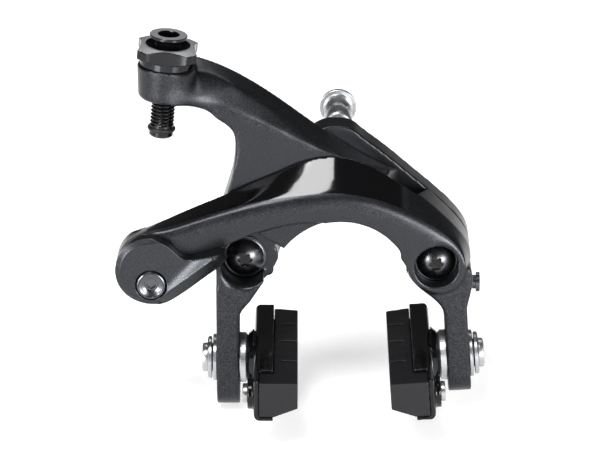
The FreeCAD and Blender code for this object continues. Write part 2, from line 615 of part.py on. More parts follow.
# Pivots
def pivot_screw(pivot, head_floor):
    """A pivot screw with a domed head, from the floor that its head's washer lies on."""
    head_base = head_floor - PIVOT_HEAD_WASHER
    length = BRACKET_FRONT - head_base
    rim, top = PIVOT_HEAD_RIM, PIVOT_HEAD_HEIGHT
    profile = [(0, -length - PIVOT_THREAD_LENGTH), (PIVOT_THREAD_RADIUS, -length - PIVOT_THREAD_LENGTH),
               (PIVOT_THREAD_RADIUS, -length), (PIVOT_SCREW_RADIUS, -length), (PIVOT_SCREW_RADIUS, 0),
               (PIVOT_HEAD_RADIUS, 0), (PIVOT_HEAD_RADIUS, rim),
               ((PIVOT_HEAD_RADIUS * 0.74, rim + (top - rim) * 0.72), (PIVOT_RECESS_RADIUS + 0.3, top)),
               (PIVOT_RECESS_RADIUS, top), (PIVOT_RECESS_RADIUS, top - PIVOT_RECESS_DEPTH),
               (0, top - PIVOT_RECESS_DEPTH)]
    return placed(turned(profile), flat(*pivot, head_base), -Y_AXIS)


def ring(pivot, outer, inner, front, rear):
    """A washer or bush about a pivot."""
    return rod(pivot, outer, front, rear).cut(rod(pivot, inner, front - 1, rear + 1))


# Adjuster
def adjuster_bolt():
    """The hollow screw that the cable housing ends in."""
    top, under = RING_TOP, RING_TOP - RING_THICKNESS
    shape = turned([(CABLE_BORE, SCREW_BOTTOM), (SCREW_RADIUS - 0.4, SCREW_BOTTOM),
                    (SCREW_RADIUS, SCREW_BOTTOM + 0.5), (SCREW_RADIUS, under - 2.8),
                    (NECK_RADIUS, under - 2.5), (NECK_RADIUS, under - 0.9),
                    (RING_RADIUS - 0.3, under), (RING_RADIUS, under + 0.2),
                    (RING_RADIUS, top - 0.2), (RING_RADIUS - 0.2, top), (HOUSING_BORE, top),
                    (HOUSING_BORE, top - HOUSING_BORE_DEPTH), (CABLE_BORE, top - HOUSING_BORE_DEPTH)])
    floor = SCREW_RADIUS - O_RING_GROOVE
    seat = turned([(floor, O_RING_PLACE - O_RING_WIRE), (SCREW_RADIUS + 1, O_RING_PLACE - O_RING_WIRE),
                   (SCREW_RADIUS + 1, O_RING_PLACE + O_RING_WIRE), (floor, O_RING_PLACE + O_RING_WIRE)])
    return adjuster_place(shape.cut(seat))


def adjuster_o_ring():
    """The rubber ring in the screw's lower groove, which keeps the nut from running off."""
    centre = SCREW_RADIUS - O_RING_GROOVE + O_RING_WIRE
    return adjuster_place(Part.makeTorus(centre, O_RING_WIRE, V(0, 0, O_RING_PLACE), Z_AXIS))


def adjuster_nut():
    """The four-lobed nut on the arm's boss, with hollowed sides and a round collar below."""
    base = ADJUSTER_BOSS_HEIGHT / 2
    floor, top = base + NUT_COLLAR_HEIGHT, base + NUT_COLLAR_HEIGHT + NUT_HEIGHT
    half, corner = NUT_WIDTH / 2, NUT_CORNER / math.sqrt(2)
    lobes = []
    for i in range(4):
        run = [V(-half + corner, -half, floor), V(half - corner, -half, floor)]
        dip = V(0, -half + NUT_SCALLOP_DEPTH, floor)
        turn = FreeCAD.Rotation(Z_AXIS, 90 * i)
        a, m, b = (turn.multVec(p) for p in (run[0], dip, run[1]))
        following = FreeCAD.Rotation(Z_AXIS, 90 * (i + 1)).multVec(run[0])
        lobes += [Part.Arc(a, m, b).toShape(), Part.makeLine(b, following)]
    body = Part.Face(Part.Wire(lobes)).extrude(V(0, 0, NUT_HEIGHT))
    reach = NUT_WIDTH / 2 + 2.4
    body = body.common(turned([(0, floor), (NUT_FLAT_RADIUS, floor), (reach, floor + NUT_CHAMFER),
                               (reach, top - NUT_CHAMFER), (NUT_FLAT_RADIUS - 0.3, top), (0, top)]))
    body = joined(body, Part.makeCylinder(NUT_COLLAR_RADIUS, NUT_COLLAR_HEIGHT, V(0, 0, base)))
    thread = SCREW_RADIUS + RUNNING_CLEARANCE
    opening = turned([(0, base - 1), (thread, base - 1), (thread, top - 2.6), (NUT_OPENING, top - 0.4),
                      (NUT_OPENING, top + 1), (0, top + 1)])
    return adjuster_place(body.cut(opening))


# Quick release and anchor
ANCHOR = near(RELEASE, 0.2, -ANCHOR_OFFSET)


def quick_release_lever():
    """The lever that drops the cable anchor: a round cap with a finger tail, and the hub behind."""
    rear = BLADE_FRONT - LEVER_GAP
    front = rear - LEVER_THICKNESS
    body = slab([on_circle(RELEASE, CAP_RADIUS, 88),
                 [near(RELEASE, 3.2, 8.3), near(RELEASE, 5.8, 6.5), near(RELEASE, 7.9, 4.4),
                  near(RELEASE, 9.9, 3.5), near(RELEASE, 12.5, 4.0), near(RELEASE, 15.9, 5.1),
                  near(RELEASE, LEVER_TIP_REACH - 0.6, 6.0)],
                 [near(RELEASE, LEVER_TIP_REACH, 5.2), near(RELEASE, 18.6, 1.9), near(RELEASE, 17.2, 0.7)],
                 [near(RELEASE, 13.8, -2.1), near(RELEASE, 10.5, -5.0), near(RELEASE, 7.2, -7.5),
                  near(RELEASE, 4.5, -9.1), on_circle(RELEASE, CAP_RADIUS, -82)],
                 (on_circle(RELEASE, CAP_RADIUS, 180), on_circle(RELEASE, CAP_RADIUS, 88))],
                front - LEVER_FLARE, rear)
    foot, tip = near(RELEASE, 3.0, -8.8), near(RELEASE, LEVER_TIP_REACH - 1.4, 3.6)
    body = body.cut(lever_hollow(foot, front)).cut(lever_bevel(foot, tip, front))
    hub = rod(RELEASE, HUB_RADIUS, rear, HUB_END)
    lever = joined(body, hub)
    ring_room = ring(RELEASE, HUB_RADIUS + 2, HUB_RADIUS - 0.5, BLADE_REAR, BLADE_REAR + RETAINING_RING_WIDTH)
    holes = [rod(ANCHOR, ANCHOR_RADIUS, front - 1, 0), ring_room,
             rod(ANCHOR, ANCHOR_HEAD_RADIUS + 0.3, front - 1, front + ANCHOR_HEAD_HEIGHT - 0.4)]
    return lever.cut(Part.makeCompound(holes))


def lever_hollow(foot, front):
    """What is cut in front of the lever: flat over the cap, then hollow as the tail flares forwards."""
    radius, far, long = LEVER_FLARE_RADIUS, 3 * CAP_RADIUS, 4 * CAP_RADIUS
    turn = math.radians(59)
    along, across = V(math.cos(turn), 0, math.sin(turn)), V(math.sin(turn), 0, -math.cos(turn))
    start = flat(*foot, front) - along * long / 2

    def at(distance, height):
        return start + across * distance - Y_AXIS * height

    def risen(distance):
        return at(distance, radius - math.sqrt(radius ** 2 - distance ** 2))

    end = radius * 0.8
    top = LEVER_FLARE + radius
    edges = [Part.makeLine(at(-far, 0), at(0, 0)), Part.Arc(at(0, 0), risen(end / 2), risen(end)).toShape(),
             Part.makeLine(risen(end), at(end, top)), Part.makeLine(at(end, top), at(-far, top)),
             Part.makeLine(at(-far, top), at(-far, 0))]
    return Part.Face(Part.Wire(edges)).extrude(along * long)


def lever_bevel(foot, tip, front):
    """What is cut outside the tail's ridge line, which climbs from the cap's foot to the tip."""
    low, high = flat(*foot, front), flat(*tip, front - LEVER_FLARE + 0.3)
    run = high - low
    low, high = low - run * 0.5, high + run * 0.5
    out = V(run.z, 0, -run.x).normalize() * LEVER_BEVEL * 4 + Y_AXIS * LEVER_BEVEL * 4
    plane = Part.Face(Part.makePolygon([low, high, high + out, low + out, low]))
    return plane.extrude(-Y_AXIS * 4 * LEVER_FLARE)


def lever_retaining_ring():
    """The open spring ring behind the arm that keeps the hub in its bore."""
    full = ring(RELEASE, HUB_RADIUS + 0.5, HUB_RADIUS - 0.5, BLADE_REAR, BLADE_REAR + RETAINING_RING_WIDTH)
    gap = Part.makeBox(3.0, 4.0, 6.0, V(RELEASE_X - 1.5, BLADE_REAR - 1, RELEASE_Z + HUB_RADIUS - 2))
    return full.cut(gap)


def anchor_bolt():
    """The bolt through the lever's hub that clamps the cable behind."""
    front = BLADE_FRONT - LEVER_GAP - LEVER_THICKNESS - 0.4
    end = HUB_END + CLAMP_WASHER_THICKNESS + ANCHOR_NUT_HEIGHT + 0.8
    head_end = front + ANCHOR_HEAD_HEIGHT
    bolt = joined(rod(ANCHOR, ANCHOR_HEAD_RADIUS, front, head_end), rod(ANCHOR, ANCHOR_RADIUS, front, end))
    return bolt.cut(hexagon(ANCHOR_HEX, flat(*ANCHOR, front), V(0, ANCHOR_HEAD_HEIGHT - 0.6, 0)))


def cable_clamp_washer():
    """The washer that presses the cable against the hub, with a groove that guides the cable."""
    end = HUB_END + CLAMP_WASHER_THICKNESS
    washer = ring(ANCHOR, CLAMP_WASHER_RADIUS, ANCHOR_RADIUS, HUB_END, end)
    groove = Part.makeCylinder(CABLE_RADIUS, 20,
                               V(ANCHOR[0] + ANCHOR_RADIUS + CABLE_RADIUS, HUB_END, ANCHOR[1] - 10))
    return washer.cut(groove)


def anchor_nut():
    """The hexagon nut behind the clamp washer."""
    start = HUB_END + CLAMP_WASHER_THICKNESS
    return hexagon(ANCHOR_NUT_WIDTH, flat(*ANCHOR, start), V(0, ANCHOR_NUT_HEIGHT, 0)).cut(
        rod(ANCHOR, ANCHOR_RADIUS, start - 1, start + ANCHOR_NUT_HEIGHT + 1))


# Roller, spring and centring screw
def sync_pin():
    """The pin in the anchor arm that carries the roller."""
    place = (ROLLER_X, ROLLER_Z)
    start = BLADE_REAR - SYNC_PIN_BITE
    end = HOUSING_FRONT + 0.6 + ROLLER_LENGTH
    pin = joined(rod(place, SYNC_PIN_RADIUS, start, end + 0.7),
                 rod(place, SYNC_PIN_RADIUS + 0.7, end, end + 0.7))
    return pin


def sync_roller():
    """The roller that runs in the housing arm's track."""
    start = HOUSING_FRONT + 0.5
    return ring((ROLLER_X, ROLLER_Z), ROLLER_RADIUS, SYNC_PIN_RADIUS + RUNNING_CLEARANCE,
                start, start + ROLLER_LENGTH)


def spring_post(side):
    """Place of a spring post. side is 1 on the right, -1 on the left."""
    return near(RIGHT if side > 0 else LEFT, -side * SPRING_POST_IN, -SPRING_POST_DOWN)


def spring_guide(side):
    """The plastic spool on a post that the spring's end bears on."""
    low, high = SPRING_WIRE + 0.1, SPRING_WIRE + 0.5
    cap, end = -SPRING_GUIDE_CAP, SPRING_POST_END - SPRING_PLANE
    profile = [(0, high), (0, end), (SPRING_POST_RADIUS, end), (SPRING_POST_RADIUS, cap),
               (SPRING_CAP_RADIUS, cap), (SPRING_CAP_RADIUS, -high), (SPRING_GUIDE_RADIUS, -high),
               (SPRING_GUIDE_RADIUS, -low), (SPRING_GUIDE_GROOVE, -low), (SPRING_GUIDE_GROOVE, low),
               (SPRING_GUIDE_RADIUS, low), (SPRING_GUIDE_RADIUS, high)]
    return placed(turned(profile), flat(*spring_post(side), SPRING_PLANE), Y_AXIS)


def return_spring():
    """The bent wire that opens the arms: over the fork bolt's boss and down to both guides."""
    bend = BRACKET_BOSS_RADIUS + SPRING_WIRE + 0.1
    post = spring_post(1)
    bearing = SPRING_GUIDE_GROOVE + SPRING_WIRE + 0.05
    run = (post[0], post[1])
    distance = math.hypot(*run)
    lean = math.asin((bend + bearing) / distance)
    toward = math.atan2(run[1], run[0])
    normal = toward + math.pi / 2 - lean
    leave = on_circle((0, 0), bend, math.degrees(normal))
    along = (math.cos(normal - math.pi / 2), math.sin(normal - math.pi / 2))
    length = distance * math.cos(lean) + SPRING_GUIDE_RADIUS - 0.4
    end = (leave[0] + along[0] * length, leave[1] + along[1] * length)
    stops = [(-end[0], end[1]), (-leave[0], leave[1]), (0, bend), leave, end]
    left_end, left_leave, crest, right_leave, right_end = (flat(x, z, SPRING_PLANE) for x, z in stops)
    path = Part.Wire([Part.makeLine(left_end, left_leave), Part.Arc(left_leave, crest, right_leave).toShape(),
                      Part.makeLine(right_leave, right_end)])
    start_run = V(end[0] - leave[0], 0, leave[1] - end[1]).normalize()
    section = Part.Wire(Part.makeCircle(SPRING_WIRE, left_end, start_run))
    return path.makePipeShell([section], True, False)


def centring_screw():
    """The small screw in the right leg that balances the arms against the spring."""
    start = RIGHT[0] + 10.0
    outer = start + CENTRING_COLLAR_HEIGHT
    collar = Part.makeCylinder(CENTRING_COLLAR_RADIUS, CENTRING_COLLAR_HEIGHT,
                               V(start, CENTRING_SCREW_Y, CENTRING_SCREW_Z), X_AXIS)
    head = Part.makeCylinder(CENTRING_HEAD_RADIUS, CENTRING_HEAD_HEIGHT,
                             V(outer, CENTRING_SCREW_Y, CENTRING_SCREW_Z), X_AXIS)
    screw = joined(head, collar, centring_shank(CENTRING_SHANK))
    face = V(outer + CENTRING_HEAD_HEIGHT, CENTRING_SCREW_Y, CENTRING_SCREW_Z)
    return screw.cut(hexagon(2.0, face, V(-1.2, 0, 0)))


# Brake shoes, built about the middle of the leg at the origin with +X towards the rim
HALF_LEG = LEG_THICKNESS / 2
BALL_RADIUS = math.hypot(HALF_LEG + DOME_RIM, DOME_RADIUS)
OUTER_BALL_RADIUS = math.hypot(HALF_LEG + OUTER_RIM, OUTER_BUMP_RADIUS)


def ball_height(radius, ball):
    """Height on a ball about the origin at a radius from its axis."""
    return math.sqrt(ball * ball - radius * radius)


def dome(rim, rim_radius, radius, ball):
    """A washer with a rim and a domed middle, about a ball centred on the origin."""
    middle = (DOME_BORE + radius) / 2
    return turned([(DOME_BORE, HALF_LEG), (rim_radius, HALF_LEG), (rim_radius, HALF_LEG + rim),
                   (radius, HALF_LEG + rim),
                   ((middle, ball_height(middle, ball)), (DOME_BORE, ball_height(DOME_BORE, ball)))])


def inner_dome():
    """The thick washer between leg and holder."""
    return placed(dome(DOME_RIM, DOME_RADIUS, DOME_RADIUS, BALL_RADIUS), V(0, 0, 0), X_AXIS)


def outer_dome():
    """The washer on the leg's outer face."""
    shape = dome(OUTER_RIM, OUTER_RIM_RADIUS, OUTER_BUMP_RADIUS, OUTER_BALL_RADIUS)
    return placed(shape, V(0, 0, 0), -X_AXIS)


CUP_FACE = HALF_LEG + OUTER_RIM + CUP_GAP
CUP_BACK = CUP_FACE + CUP_THICKNESS


def cup_washer():
    """The hollow-faced washer under the bolt's head."""
    washer = turned([(SHOE_BOLT_RADIUS + RUNNING_CLEARANCE, CUP_FACE - 1), (CUP_RADIUS, CUP_FACE - 1),
                     (CUP_RADIUS, CUP_BACK - 0.3), (CUP_RADIUS - 0.3, CUP_BACK),
                     (SHOE_BOLT_RADIUS + RUNNING_CLEARANCE, CUP_BACK)])
    washer = washer.cut(Part.makeSphere(OUTER_BALL_RADIUS + BALL_CLEARANCE))
    washer = washer.common(Part.makeCylinder(CUP_RADIUS + 1, CUP_THICKNESS, V(0, 0, CUP_FACE)))
    return placed(washer, V(0, 0, 0), -X_AXIS)


def shoe_bolt():
    """The shoe bolt: head outside, thread in the holder."""
    end = HOLDER_BACK + HOLDER_THICKNESS - RUBBER_TONGUE - 0.8
    top = CUP_BACK + SHOE_BOLT_HEAD_HEIGHT
    shape = turned([(0, -end), (SHOE_BOLT_RADIUS, -end), (SHOE_BOLT_RADIUS, CUP_BACK),
                    (SHOE_BOLT_HEAD, CUP_BACK), (SHOE_BOLT_HEAD, top - 0.5), (SHOE_BOLT_HEAD - 0.5, top),
                    (0, top)])
    shape = shape.cut(hexagon(SHOE_BOLT_HEX, V(0, 0, top), V(0, 0, -1.3)))
    return placed(shape, V(0, 0, 0), -X_AXIS)


def box(x0, x1, y0, y1, z0, z1):
    """A block between two corners."""
    return Part.makeBox(x1 - x0, y1 - y0, z1 - z0, V(x0, y0, z0))


FACE = HOLDER_BACK + HOLDER_THICKNESS
PAD_FRONT = PAD_REAR - PAD_LENGTH
NOSE_START = PAD_FRONT + RUBBER_NOSE
NOSE_BACK = FACE + RUBBER_THICKNESS - RUBBER_NOSE_WIDTH


def tongue(grow):
    """The dovetail rib of the rubber, grown all round for the holder's groove."""
    low, high = RUBBER_TONGUE_HEIGHT / 2 + grow, RUBBER_TONGUE_HEIGHT / 2 - 0.7 + grow
    back = FACE - RUBBER_TONGUE - grow
    start, end = PAD_FRONT + 3.0, PAD_REAR - 2.0 + grow
    profile = [V(back, start, -low), V(back, start, low), V(FACE + 0.2, start, high),
               V(FACE + 0.2, start, -high), V(back, start, -low)]
    return Part.Face(Part.makePolygon(profile)).extrude(V(0, end - start, 0))


def brake_pad():
    """The rubber insert: grooved block, wide nose at the front and a dovetail in the holder."""
    half = RUBBER_HEIGHT / 2
    face = FACE + RUBBER_THICKNESS
    rear = PAD_REAR - RUBBER_SETBACK
    plan = [V(FACE + 0.1, PAD_FRONT, -half), V(face, PAD_FRONT, -half), V(face, rear - RUBBER_SLANT, -half),
            V(FACE + 0.1, rear, -half), V(FACE + 0.1, PAD_FRONT, -half)]
    bar = Part.Face(Part.makePolygon(plan)).extrude(V(0, 0, RUBBER_HEIGHT))
    nose = box(NOSE_BACK, face, PAD_FRONT, NOSE_START, -half, half)
    pad = joined(bar, nose, tongue(0))
    corner = [V(face - 6.3, PAD_FRONT - 1, -half), V(face + 0.1, PAD_FRONT - 1, -half),
              V(face + 0.1, PAD_FRONT - 1, RUBBER_CHAMFER - half), V(face - 6.3, PAD_FRONT - 1, -half)]
    bevel = Part.Face(Part.makePolygon(corner)).extrude(V(0, PAD_LENGTH + 2, 0))
    grooves = [box(face - GROOVE_DEPTH, face + 1, y - GROOVE_WIDTH / 2, y + GROOVE_WIDTH / 2,
                   -half - 1, half + 1) for y in GROOVE_PLACES]
    screw_hole = Part.makeCylinder(RETAINER_SHANK, 6, V(FACE - RUBBER_TONGUE - 1, RETAINER_Y, 0), X_AXIS)
    return pad.cut(Part.makeCompound([bevel, screw_hole] + grooves))


def shoe_holder():
    """The metal channel that holds the rubber, with the hollow seat for the domed washer."""
    half = HOLDER_HEIGHT / 2
    sides = box(HOLDER_BACK, FACE, PAD_FRONT - 0.3, PAD_REAR + 0.3, -half, half)
    back_edges = [edge for edge in sides.Edges if abs(edge.CenterOfMass.x - HOLDER_BACK) < 0.01]
    sides = sides.makeFillet(1.4, back_edges)
    boss = placed(turned([(0, 0), (HOLDER_BOSS_RADIUS + 1.6, 0), (HOLDER_BOSS_RADIUS, HOLDER_BOSS_HEIGHT),
                          (0, HOLDER_BOSS_HEIGHT)]), V(HOLDER_BACK, 0, 0), -X_AXIS)
    retainer_boss = Part.makeCylinder(RETAINER_BOSS_RADIUS, RETAINER_BOSS_HEIGHT + 1,
                                      V(HOLDER_BACK - RETAINER_BOSS_HEIGHT, RETAINER_Y, 0), X_AXIS)
    body = joined(sides, boss, retainer_boss)
    lip_top = -RUBBER_HEIGHT / 2 - 0.1
    nose_room = box(NOSE_BACK - 0.1, FACE + 1, PAD_FRONT - 1, NOSE_START + 0.1, lip_top, half + 1)
    holes = [Part.makeSphere(BALL_RADIUS + BALL_CLEARANCE), nose_room, tongue(0.1),
             Part.makeCylinder(SHOE_BOLT_RADIUS, FACE, V(0, 0, 0), X_AXIS),
             Part.makeCylinder(RETAINER_SHANK, FACE, V(0, RETAINER_Y, 0), X_AXIS)]
    return body.cut(Part.makeCompound(holes))


def pad_retaining_screw():
    """The small screw that keeps the rubber in the holder."""
    start = HOLDER_BACK - RETAINER_BOSS_HEIGHT
    head = Part.makeCylinder(RETAINER_RADIUS, RETAINER_HEAD, V(start - RETAINER_HEAD, RETAINER_Y, 0), X_AXIS)
    shank = Part.makeCylinder(RETAINER_SHANK, FACE - 1.0 - start, V(start, RETAINER_Y, 0), X_AXIS)
    screw = joined(head, shank)
    return screw.cut(hexagon(2.0, V(start - RETAINER_HEAD, RETAINER_Y, 0), V(0.9, 0, 0)))


def on_left_leg(shape):
    """A shoe piece at the left leg."""
    done = shape.copy()
    done.rotate(V(0, 0, 0), X_AXIS, -SHOE_PITCH)
    done.translate(V(LEFT_LEG_X, LEG_CENTRE_Y, LEFT_SHOE_Z))
    return done


def on_right_leg(shape):
    """A shoe piece mirrored to the right leg, which leans outwards going down."""
    done = shape.mirror(V(0, 0, 0), X_AXIS)
    done.rotate(V(0, 0, 0), X_AXIS, -SHOE_PITCH)
    done.rotate(V(0, 0, 0), Y_AXIS, -RIGHT_LEG_LEAN)
    done.translate(V(RIGHT_LEG_X, LEG_CENTRE_Y, RIGHT_SHOE_Z))
    return done


def build():
    """Every piece by name."""
    left_floor = HOUSING_FRONT
    right_floor = BLADE_FRONT + RIGHT_HEAD_SINK + PIVOT_HEAD_HEIGHT + PIVOT_HEAD_WASHER
    loose = PIVOT_SCREW_RADIUS + RUNNING_CLEARANCE
    bush = PIVOT_SCREW_RADIUS + BUSH_WALL
    pieces = {
        "pivot_bracket": pivot_bracket(),
        "mounting_bolt": mounting_bolt(),
        "sleeve_nut": sleeve_nut(),
        "serrated_washer": serrated_washer(),
        "anchor_arm": anchor_arm(),
        "housing_arm": housing_arm(),
        "left_pivot_screw": pivot_screw(LEFT, left_floor),
        "right_pivot_screw": pivot_screw(RIGHT, right_floor),
        "left_pivot_washer": ring(LEFT, PIVOT_HEAD_RADIUS + 0.3, PIVOT_SCREW_RADIUS,
                                  left_floor - PIVOT_HEAD_WASHER, left_floor),
        "right_pivot_washer": ring(RIGHT, PIVOT_HEAD_RADIUS + 0.3, PIVOT_SCREW_RADIUS,
                                   right_floor - PIVOT_HEAD_WASHER, right_floor),
        "left_pivot_shim": ring(LEFT, PIVOT_SHIM_RADIUS, PIVOT_SCREW_RADIUS, HOUSING_REAR, BRACKET_FRONT),
        "right_pivot_shim": ring(RIGHT, PIVOT_SHIM_RADIUS, PIVOT_SCREW_RADIUS, HOUSING_REAR, BRACKET_FRONT),
        "left_pivot_bush": ring(LEFT, bush, loose, left_floor, HOUSING_REAR),
        "right_pivot_bush": ring(RIGHT, bush, loose, right_floor, HOUSING_REAR),
        "sync_pin": sync_pin(),
        "sync_roller": sync_roller(),
        "return_spring": return_spring(),
        "left_spring_guide": spring_guide(-1),
        "right_spring_guide": spring_guide(1),
        "centring_screw": centring_screw(),
        "adjuster_bolt": adjuster_bolt(),
        "adjuster_o_ring": adjuster_o_ring(),
        "adjuster_nut": adjuster_nut(),
        "quick_release_lever": quick_release_lever(),
        "lever_retaining_ring": lever_retaining_ring(),
        "anchor_bolt": anchor_bolt(),
        "cable_clamp_washer": cable_clamp_washer(),
        "anchor_nut": anchor_nut(),
    }
    shoe = {"inner_dome": inner_dome(), "outer_dome": outer_dome(), "cup_washer": cup_washer(),
            "shoe_bolt": shoe_bolt(), "shoe_holder": shoe_holder(), "brake_pad": brake_pad(),
            "pad_retaining_screw": pad_retaining_screw()}
    for name, shape in shoe.items():
        pieces["left_" + name] = on_left_leg(shape)
        pieces["right_" + name] = on_right_leg(shape)
    return pieces


def main():
    """Writes each piece to its own file."""
    os.makedirs("parts", exist_ok=True)
    for name, shape in build().items():
        shape.exportStep("parts/" + name + ".step")


main()
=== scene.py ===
"""Looks of a dual-pivot rim brake caliper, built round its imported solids.

Every length in the classes is in millimetres, and becomes metres where a mesh is made. The frame is the
solids' own: the origin on the fork bolt, +Y back through the fork, +X to the right from the front, +Z up.
"""
from __future__ import annotations

import json
import logging
import math
from dataclasses import dataclass, field
from enum import Enum
from typing import Callable, Iterable, Iterator, Sequence

import bpy
from mathutils import Matrix, Vector

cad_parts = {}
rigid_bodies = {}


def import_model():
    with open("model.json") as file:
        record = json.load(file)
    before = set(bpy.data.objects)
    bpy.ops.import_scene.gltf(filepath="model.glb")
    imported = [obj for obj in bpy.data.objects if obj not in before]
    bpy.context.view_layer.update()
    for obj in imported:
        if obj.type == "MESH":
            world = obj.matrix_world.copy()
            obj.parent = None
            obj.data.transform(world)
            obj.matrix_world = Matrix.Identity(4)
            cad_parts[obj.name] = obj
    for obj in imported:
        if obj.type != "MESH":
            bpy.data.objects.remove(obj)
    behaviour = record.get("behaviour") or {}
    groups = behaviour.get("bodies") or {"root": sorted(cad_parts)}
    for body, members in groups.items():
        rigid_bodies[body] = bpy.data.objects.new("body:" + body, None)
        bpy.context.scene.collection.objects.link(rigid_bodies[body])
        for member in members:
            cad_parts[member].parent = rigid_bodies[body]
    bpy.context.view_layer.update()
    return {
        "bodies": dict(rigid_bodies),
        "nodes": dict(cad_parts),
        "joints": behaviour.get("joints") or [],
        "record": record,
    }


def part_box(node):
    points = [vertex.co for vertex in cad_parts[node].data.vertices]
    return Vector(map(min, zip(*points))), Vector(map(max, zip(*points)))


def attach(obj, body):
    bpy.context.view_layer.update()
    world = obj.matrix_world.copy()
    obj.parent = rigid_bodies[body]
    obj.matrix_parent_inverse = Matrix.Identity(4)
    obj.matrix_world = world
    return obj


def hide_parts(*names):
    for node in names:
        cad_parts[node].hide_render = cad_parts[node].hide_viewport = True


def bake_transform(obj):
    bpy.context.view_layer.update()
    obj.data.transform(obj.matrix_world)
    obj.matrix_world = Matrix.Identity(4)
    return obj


LOG = logging.getLogger("caliper")
Ring = tuple[float, float]
Point = tuple[float, float, float]
Colour = tuple[float, float, float]

MM = 0.001
SKIN_MERGE = 1e-6
RING_MERGE = 1e-7

FLAKE_SPAN = (0.42, 0.72)
GRAIN_SPAN = (0.3, 0.7)
GRAINS_PER_CLOUD = 30

BLADE_FRONT = -31.0
FRONT_RIDGE: tuple[Ring, ...] = (
    (-52.8, -7.5), (-47.0, -6.6), (-40.2, -4.7), (-33.5, -2.7), (-26.8, -0.9), (-20.1, 0.5),
    (-11.5, 1.7), (-1.6, 2.4), (4.0, 1.8), (9.8, 0.6), (15.6, -1.4), (19.1, -3.0), (22.0, -4.4),
    (27.6, -7.8), (31.0, -11.0), (32.9, -15.0))
FACET_FOOT: tuple[Ring, ...] = (
    (-60.0, -3.0), (-55.0, -6.2), (-50.0, -6.9), *((x, z + 0.2) for x, z in FRONT_RIDGE[1:11]), (20.0, -2.6))


class Side(Enum):
    """The two sides of the caliper, seen from the front."""

    LEFT = "left"
    RIGHT = "right"


# ---------------------------------------------------------------- finishes
@dataclass
class NodeDesk:
    """Adds and joins the nodes of a material or of the world."""

    tree: bpy.types.NodeTree

    def add(self, kind: str, **settings: object) -> bpy.types.Node:
        """Adds a node and sets its plain properties.

        Args:
            kind: The node's type name.
            **settings: Properties of the node.

        Returns:
            The new node.
        """
        node = self.tree.nodes.new(kind)
        for name, value in settings.items():
            setattr(node, name, value)
        return node

    def join(self, source: bpy.types.NodeSocket, target: bpy.types.NodeSocket) -> None:
        """Links an output to an input."""
        self.tree.links.new(source, target)

    def feed(self, target: bpy.types.NodeSocket, value: object) -> None:
        """Links an input to a socket, or sets it to a number or a colour."""
        if isinstance(value, bpy.types.NodeSocket):
            self.join(value, target)
        else:
            target.default_value = (*value, 1.0) if isinstance(value, tuple) else value

    def math(self, operation: str, first: object, second: object = 0.0) -> bpy.types.NodeSocket:
        """Adds a Math node.

        Args:
            operation: What it does.
            first: A socket or a number.
            second: A socket or a number.

        Returns:
            Its output.
        """
        node = self.add("ShaderNodeMath", operation=operation)
        self.feed(node.inputs[0], first)
        self.feed(node.inputs[1], second)
        return node.outputs[0]

    def ramp(self, value: bpy.types.NodeSocket, low: float, high: float, start: float = 0.0,
             end: float = 1.0, interpolation: str = "SMOOTHSTEP") -> bpy.types.NodeSocket:
        """Adds a Map Range node.

        Args:
            value: What it maps.
            low: Value that gives start.
            high: Value that gives end.
            start: Result at low.
            end: Result at high.
            interpolation: How it goes from start to end.

        Returns:
            Its output.
        """
        node = self.add("ShaderNodeMapRange", interpolation_type=interpolation)
        self.join(value, node.inputs["Value"])
        for name, number in (("From Min", low), ("From Max", high), ("To Min", start), ("To Max", end)):
            node.inputs[name].default_value = number
        return node.outputs["Result"]

    def noise(self, place: bpy.types.NodeSocket, size: float) -> bpy.types.NodeSocket:
        """Adds a noise whose blobs are about size millimetres wide.

        Args:
            place: Coordinates in metres.
            size: Width of a blob in millimetres.

        Returns:
            Its value.
        """
        node = self.add("ShaderNodeTexNoise")
        self.join(place, node.inputs["Vector"])
        node.inputs["Scale"].default_value = 1.0 / (size * MM)
        node.inputs["Detail"].default_value = 2.0
        return node.outputs["Fac"]

    def tint(self, share: bpy.types.NodeSocket, first: object, second: object) -> bpy.types.NodeSocket:
        """Adds a colour mix.

        Args:
            share: 0 gives first and 1 gives second.
            first: A socket or a colour.
            second: A socket or a colour.

        Returns:
            Its colour.
        """
        node = self.add("ShaderNodeMix", data_type="RGBA")
        first_colour, second_colour, mixed = node.inputs[6], node.inputs[7], node.outputs[2]
        self.join(share, node.inputs["Factor"])
        self.feed(first_colour, first)
        self.feed(second_colour, second)
        return mixed


